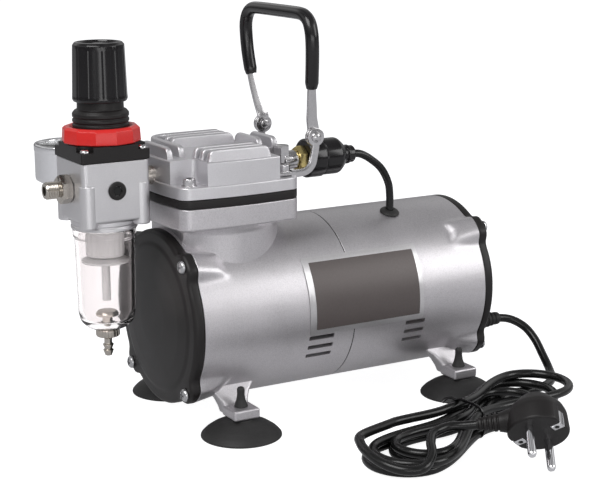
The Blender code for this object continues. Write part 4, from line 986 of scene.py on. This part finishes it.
def lock_ring():
    """Red ring with flats round its rim."""
    flats = 12

    def flatten(a, r, h):
        if r < 19:
            return r
        sector = (a % (2 * pi / flats)) - pi / flats
        return r * cos(pi / flats) / cos(sector)

    low, high = RING_LOW.z, RING_HIGH.z
    profile = soften([(17.2, high), (19.6, high), (21.2, high - 1.2), (21.7, low + 0.6), (21.3, low),
            (15.8, low), (15.8, high - 1.6)], 0.3, 3, True)
    piece(lathe(profile, 192, REG_AT, ripple=flatten), "ring", RED, "lock_ring", smooth=20)


def knob():
    """Grip with shallow flutes, a rim and a sunk cap."""
    low, high = KNOB_LOW.z, KNOB_HIGH.z
    flutes = 12

    def flute(a, r, h):
        if r < 13.5 or h > high - 1 or h < low + 1:
            return r
        ease = min(1, (high - 1 - h) / 3, (h - low - 1) / 1.5)
        sector = (a % (2 * pi / flutes)) / (2 * pi / flutes)
        groove = exp(-((sector - 0.5) / 0.045) ** 2)
        return r - ease * (0.35 * groove + 0.12 * cos(2 * pi * sector))

    shape = [(0, high - 1), (3, high - 1), (3.2, high - 1.5), (10.6, high - 1.5), (11.2, high - 0.2),
            (12.8, high - 0.4), (14, high - 1.8)]
    shape += [(14 + 0.9 * k / 10, high - 1.8 + (low + 3 - high + 1.8) * k / 10) for k in range(1, 11)]
    shape += [(15.1, low + 1.4), (14.4, low), (13.4, low), (13.4, low + 17), (0, low + 17)]
    piece(lathe(soften(shape, 0.4), 216, REG_AT, ripple=flute), "knob_grip", GLOSS, "pressure_knob",
          body="knob", smooth=50)


def filter_bowl():
    low, high = BOWL_LOW.z, BOWL_HIGH.z
    wall = [(17.4, high), (17.6, high - 0.6), (17.5, 113.4), (16.7, 112.4), (16.6, 106), (15.9, 69.5),
            (14.6, 64.5), (11, 61.2), (7, low), (3.3, low), (3.3, low + 2.4), (8, low + 2.6), (12.4, 66),
            (13.9, 70), (14.6, 106), (14.9, high)]
    piece(lathe(soften(wall, 1.2, 4), 96, REG_AT), "bowl", CLEAR, "filter_bowl", smooth=50)
    element = [(0, 134), (3, 134), (3, 116), (10.4, 116), (10.7, 115), (10.7, 103), (10.2, 102),
               (5, 101.6), (13.2, 99.6), (13.2, 98.4), (4, 98), (2.4, 96), (2.4, 76), (0, 75.5)]

    def pleats(a, r, h):
        return r - (0.35 if 103.2 < h < 114.8 and r > 10 and cos(a * 18) > 0 else 0)

    piece(lathe(soften(element, 0.3), 108, REG_AT, ripple=pleats), "element", WHITE,
          "filter_element")
    drain = [(0, 70), (5.2, 70), (6.4, 68.6), (6.4, 66.8), (2.9, 65.8), (2.9, low - GAP), (6.2, low - GAP),
            (6.7, low - 0.9), (6.7, 56), (6.2, 55.3), (3.4, 55), (2.2, 53.6), (2.2, 51), (3.1, 50.4),
            (2, 47.6), (3, 47.2), (1.8, 43.9), (0.8, 43.9), (0.8, 47), (0, 47)]

    def knurl(a, r, h):
        return r - (0.25 if r > 6.3 and h < 60 and cos(a * 20) > 0.2 else 0)

    piece(lathe(soften(drain, 0.25), 160, REG_AT, ripple=knurl), "drain_cock", NICKEL, "drain_valve",
          body="drain")


def threaded(radius, x0, x1, pitch=0.9, depth=0.35):
    """Profile of a threaded length between two heights."""
    count = int((x1 - x0) / pitch)
    points = []
    for k in range(count):
        points += [(radius - depth, x0 + pitch * k), (radius, x0 + pitch * (k + 0.5))]
    return points + [(radius - depth, x0 + pitch * count)]


def port_fittings():
    front = span("outlet_fitting")[0].x
    face = REG_X - REG_HALF - GAP
    nut = moved(hex_nut(8.1, 5.8), (face - 5.8, 0, PORT_Z), "X")
    reach = face - 5.6 - front
    stub = lathe([(2.6, 0), (4.2, 0), *threaded(4.8, 0.6, reach - 1.4), (4.1, reach - 1.2),
            (4.1, reach + 0.4), (2.6, reach + 0.4)], 48, (front, 0, PORT_Z), "X")
    # Dark disc a little way inside the outlet stub: painted shade for the depth of its bore.
    dark = lathe(rod(2.7, 2, 3), 32, (front, 0, PORT_Z), "X")
    piece(merged(nut, stub), "outlet", NICKEL, "outlet_fitting")
    piece(dark, "outlet_bore", HOLE_SHADE_AND_JOINT, like="port_plug")
    ring = lathe(soften([(2.6, 0), (2.6, 1.2), (4.6, 1.2), (5.1, 0.8), (5.1, 0)], 0.3, 3, True), 56)
    # Flat dark hexagon on the port plug's face: painted shade for its hex socket, which is not cut.
    socket = lathe([(2.7, 0.1), (2.7, 0.6), (0, 0.6), (0, 0.1)], 6)
    piece(moved(ring, (REG_X, -REG_HALF, PORT_Z), "-Y"), "plug_ring", BLACK, "port_plug")
    piece(moved(socket, (REG_X, -REG_HALF + 0.1, PORT_Z), "-Y"), "plug_socket", HOLE_SHADE_AND_JOINT, like="port_plug")
    start = REG_X + REG_HALF + GAP
    length = span("inlet_connector")[1].x - start - 4
    union_nut = moved(hex_nut(7.4, 5), (start, 0, PORT_Z), "X")
    sleeve = lathe(soften(rod(5.4, 0, length), 0.3), 40,
                   (start + 3.6, 0, PORT_Z + 3), "X")
    piece(merged(union_nut, sleeve), "inlet", NICKEL, "inlet_connector")


GAUGE_HIGH = span("gauge_case")[1]
GAUGE_R = 20
GAUGE_Y = GAUGE_HIGH.y - GAUGE_R
SWEEP_START, SWEEP = 225, 270


def dial_marks(z):
    """Scale lines round the dial, longer at each fifth."""
    bm = bmesh.new()
    for k in range(21):
        a = radians(SWEEP_START - SWEEP * k / 20)
        inner, wide = (11.2, 0.42) if k % 5 == 0 else (12.9, 0.22)
        along = Vector((cos(a), sin(a)))
        across = Vector((-along.y, along.x)) * wide
        flat = [along * inner + across, along * inner - across, along * 15 - across, along * 15 + across]
        rows = [[bm.verts.new((REG_X + p.x, GAUGE_Y + p.y, h)) for p in flat] for h in (z, z + 0.1)]
        skin(bm, rows)
    return bm


def gauge():
    """Chrome cup with its dial facing up."""
    z1, z0 = GAUGE_HIGH.z, 136
    dial = z1 - 5.4
    r = GAUGE_R
    cup = soften([(0, z0), (17, z0), (19.4, z0 + 1.4), (r - 0.3, z0 + 3), (r - 0.3, z1 - 4.6), (r, z1 - 4.2),
            (r, z1 - 0.8), (r - 0.8, z1), (r - 2.4, z1 - 0.9), (r - 2.4, dial - 0.4), (0, dial - 0.4)], 0.5)
    stem = moved(hex_nut(7, 13), (REG_X, REG_HALF + GAP, PORT_Z), "Y")
    piece(merged(lathe(cup, 120, (REG_X, GAUGE_Y, 0)), stem), "gauge_cup", CHROME, "gauge_case")
    piece(lathe(rod(17.5, dial - 0.3, dial), 80, (REG_X, GAUGE_Y, 0)), "gauge_dial",
          DIAL, like="filter_element")
    piece(dial_marks(dial), "gauge_marks", BLACK, like="gauge_needle")
    pane = soften([(0, z1 - 0.7), (15, z1 - 0.9), (17.7, z1 - 1.3), (17.7, z1 - 2.1), (0, z1 - 1.9)], 0.3)
    piece(lathe(pane, 80, (REG_X, GAUGE_Y, 0)), "gauge_pane", GLASS, like="filter_bowl")


# ---- mains lead

CORD_R = 2.6
CORD_EXIT = (199.5, -18, 33)
CORD_ROUTE = [
    (210, -18, 33), (220.8, -18, 33), (230.6, -20, 31.2), (237.8, -25.3, 26.4), (240.4, -32.6, 19.7),
    (240.2, -40.4, 12.4), (238.4, -49.6, 5.8), (233.6, -58.6, 3.2), (225.4, -66.8, 3.1), (214.4, -72, 3.1),
]
HANK_AT, HANK_TURN = (134, -110.5), radians(20)
HANK_HALF = 81.4               # half the longest loop, to the cord's middle
WAIST = 9.2                    # from the hank's middle line to the outer turn
PITCH = 5.4                    # from one turn to the next
END_R = 21.2                   # of the outer turn's round ends
PER_TURN = 120                 # points in a turn
LEAD_STEP = 2.5                # between points of the two ends
# Shares of a turn at which a strand steps over to the next turn, each one earlier than the last
STEP_AT, STEP_EARLIER, STEP_LONG = 0.56, 0.06, 0.1
DRIFT_AT, DRIFT_LONG = 0.5, 0.16
PLUG_AT = (134.4, -171.1, 18.5)
PLUG_TURN = Euler([radians(a) for a in (44.4, 30.4, 122.7)]).to_matrix()
RELIEF_TURN, RELIEF_REACH, RELIEF_LIFT = radians(30), 32, 9.6


def relief_point(reach, lift=0):
    """Point along the strain relief's axis, on the plug's own axes."""
    return Vector((reach * cos(RELIEF_TURN), reach * sin(RELIEF_TURN), RELIEF_LIFT + lift))


# Along, across and up in the hank: onto the first turn, and from the last turn's far side to the plug
LEAD_IN_AT = ((76.4, 12.6, 3), (66.4, 18.2, 2.95))
TAIL_AT = ((-70.5, 21.6, 13.9), (-81, 14.5, 13.8), (-87.8, 4, 12.6), (-90.2, -7.5, 10.4), (-87.6, -18.5, 8.8),
           (-80.2, -25.2, 9), (-70.8, -24, 12), (-65.4, -20.4, 13.9), (-60, -15.8, 15.4),
           (-52.6, -11.9, 17.2), (-44.4, -12.9, 18.4), (-39.8, -15.4, 18.8))


def turned(u, v, angle):
    return u * cos(angle) - v * sin(angle), u * sin(angle) + v * cos(angle)


def hank_point(u, v, z):
    """Point given along and across the hank."""
    u, v = turned(u, v, HANK_TURN)
    return Vector((HANK_AT[0] + u, HANK_AT[1] + v, z))


def hank_points(places):
    return [hank_point(*at) for at in places]


def loop_point(share, inset_by, z, slip, lean, short):
    """Point of a long loop, anticlockwise from its far side's middle; slip shifts it and lean turns it."""
    r = END_R - inset_by
    straight = HANK_HALF - END_R - short
    lengths = (straight, pi * r, 2 * straight, pi * r, straight)
    at = (share % 1) * sum(lengths)
    for leg_no, length in enumerate(lengths):
        if at <= length:
            break
        at -= length
    waist = WAIST - inset_by
    if leg_no in (1, 3):
        sign = -1 if leg_no == 1 else 1
        a = at / r - sign * pi / 2
        u, v = sign * straight + r * cos(a), r * sin(a)
    else:
        u = {0: -at, 2: -straight + at, 4: straight - at}[leg_no]
        v = waist + (r - waist) * sin(0.5 * pi * min(1, abs(u) / straight)) ** 2
        v = -v if leg_no == 2 else v
    rise = z + 1.2 * exp(-(u / 14) ** 2)
    return hank_point(*turned(u + slip, v, lean), rise)


def eased(share):
    share = min(1, max(0, share))
    return share * share * (3 - 2 * share)


def winding():
    """Turns of the hank: each is (inset, height, slip, lean, short), and changes along the near side."""
    low = CORD_R + 0.35
    turns = [(0, low, 0, 0, 0), (PITCH, low, 4, 0, 11), (PITCH, low + PITCH, -3, 0.07, 15),
             (0, low + PITCH, -2, 0.07, 2), (0, low + 2 * PITCH, 3, -0.03, 1)]
    points = []
    for i in range(int(-0.14 * PER_TURN), int(4.14 * PER_TURN)):
        share = i / PER_TURN
        whole = max(0, floor(share))
        step = eased((share - whole - STEP_AT + STEP_EARLIER * whole) / STEP_LONG)
        drift = eased((share - whole - DRIFT_AT) / DRIFT_LONG)
        here, after = turns[whole], turns[min(whole + 1, len(turns) - 1)]
        mix = [a + (b - a) * t for a, b, t in zip(here, after, (step, step, drift, drift, drift))]
        points.append(loop_point(share, *mix))
    return points


def mains_lead():
    def from_plug(reach, lift=0):
        return Vector(PLUG_AT) + PLUG_TURN @ relief_point(reach, lift)

    turns = winding()
    lead_in = smooth([CORD_EXIT, *CORD_ROUTE, *hank_points(LEAD_IN_AT), turns[0]], LEAD_STEP)
    into_plug = from_plug(RELIEF_REACH + 6, -0.1), from_plug(RELIEF_REACH - 8)
    tail = smooth([turns[-1], *hank_points(TAIL_AT), *into_plug], LEAD_STEP)
    route = lead_in[:-1] + turns + tail[1:]
    cord = cable("cord", route, CORD_R, CORD)
    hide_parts("mains_cord", "cord_hank")
    length = sum((q - p).length for p, q in zip(route, route[1:])) * MM
    return cord, length


def gland():
    shape = [(2.8, 22), (3.6, 22), (3.9, 21.2)]
    for k in range(5):
        h = 18.6 - 3 * k
        r = 4 + 0.35 * k
        shape += [(r, h + 1.4), (r, h), (r - 0.5, h - 0.3), (r - 0.45, h - 1.2)]
    shape += [(6, 3.4), (7.2, 3), (7.2, 0.4), (2.8, 0.4)]
    return piece(lathe(soften(shape, 0.25, 2, True), 56, CORD_EXIT, "X"), "gland", RUBBER, "cord_gland")


def tie():
    """Twisted tie round the middle of the hank."""
    loop = []
    for k in range(64):
        a = 2 * pi * k / 64
        v, rise = (half * copysign(abs(part) ** 0.6, part) for half, part in ((13.2, cos(a)), (9.1, sin(a))))
        loop.append(hank_point(-2 + 0.25 * v, v, 9.9 + rise))
    band = sweep(loop, oval(0.7, 1.3, 10), closed=True)
    knot = hank_points(((-2, 9, 18.8), (-3.5, 11, 19.8), (-6, 12.8, 19.2), (-8, 13.6, 17.6)))
    twist = sweep(smooth(knot, 0.8), oval(1, 0.7, 10))
    return piece(merged(band, twist), "tie", GLOSS, like="cord_gland")


def plug():
    """Angled plug with two round pins, earth clips and a ribbed relief."""
    turn = PLUG_TURN.to_4x4()
    r = 16.5
    crown = soften([(0, 22), (7.6, 21.8), (14.4, 14.6), (r - 0.5, 10.6), (r, 1), (r - 0.6, 0), (0, 0)],
                   1.2, 4)

    def notched(a, radius, h):
        flat = 14.9 / max(0.5, abs(cos(a)))
        groove = 0.8 if abs(sin(a)) < 0.2 and h < 9 and radius > 13 else 0
        return min(radius, max(flat, 0.9 * radius)) - groove

    body = lathe(crown, 144, ripple=notched)
    neck = ((4, 8.6, 8), (10, 8.3, 7.6), (14, 7.2, 6.8), (17.5, 6, 5.8), (20, 5.2, 5.2))
    hood = sweep([relief_point(x) for x, _, _ in neck], [oval(w, h, 28) for _, w, h in neck],
                 first_side=(-sin(RELIEF_TURN), cos(RELIEF_TURN), 0))
    ribs = []
    for k in range(5):
        x, r = 18.6 + 2.7 * k, 5.3 - 0.36 * k
        ribs += [(r, x), (r, x + 1.5), (r - 0.9, x + 1.7), (r - 0.9, x + 2.5)]
    relief = lathe(soften([(0, 17.6), *ribs, (2.9, RELIEF_REACH), (0, RELIEF_REACH)], 0.25), 40)
    moved(relief, axis="X")
    moved(relief, (0, 0, RELIEF_LIFT), turn=Matrix.Rotation(RELIEF_TURN, 4, "Z"))
    shape = carved(body, [(JOIN, hood), (JOIN, relief)])
    made = [piece(moved(shape, PLUG_AT, turn=turn), "plug", BLACK, "mains_plug")]
    pins = [lathe(soften([(0, -18), (1.7, -18), (2.3, -16.6), (2.3, 0.5), (0, 0.5)], 0.6, 4), 36, (0, y, 0))
            for y in (-9, 9)]
    made.append(piece(moved(merged(*pins), PLUG_AT, turn=turn), "plug_pins", CHROME, like="gauge_case"))
    clips = []
    for sign in (-1, 1):
        for inner, outer, top in ((8.6, 14.6, 0.6), (13.9, 14.7, 8.5)):
            low, high = sorted((sign * inner, sign * outer))
            clips.append(block((low, -2.3, -0.5), (high, 2.3, top), 0.25))
        # Dark disc in each earth clip: painted shade for the clip's hole, which is not cut.
        hole = lathe(rod(1.3, -0.62, 0.2), 24, (sign * 11.4, 0, 0))
        made.append(piece(moved(hole, PLUG_AT, turn=turn), f"clip_hole_painted_shade_{'near' if sign > 0 else 'far'}",
                HOLE_SHADE_AND_JOINT, like="port_plug"))
    made.append(piece(moved(merged(*clips), PLUG_AT, turn=turn), "plug_clips", CHROME, like="gauge_case"))
    return made


# ---- build

cord, cord_length = mains_lead()
with_pieces = [gland(), tie(), *plug()]
front_housing()
rear_housing()
covers()
cover_screws()
rating_plate()
suction_feet()
cylinder_head()
head_bolts()
handle()
for side, sign in (("near", -1), ("far", 1)):
    bracket(side, sign)
pressure_switch()
switch_lead()
regulator_body()
bonnet()
lock_ring()
knob()
filter_bowl()
port_fittings()
gauge()
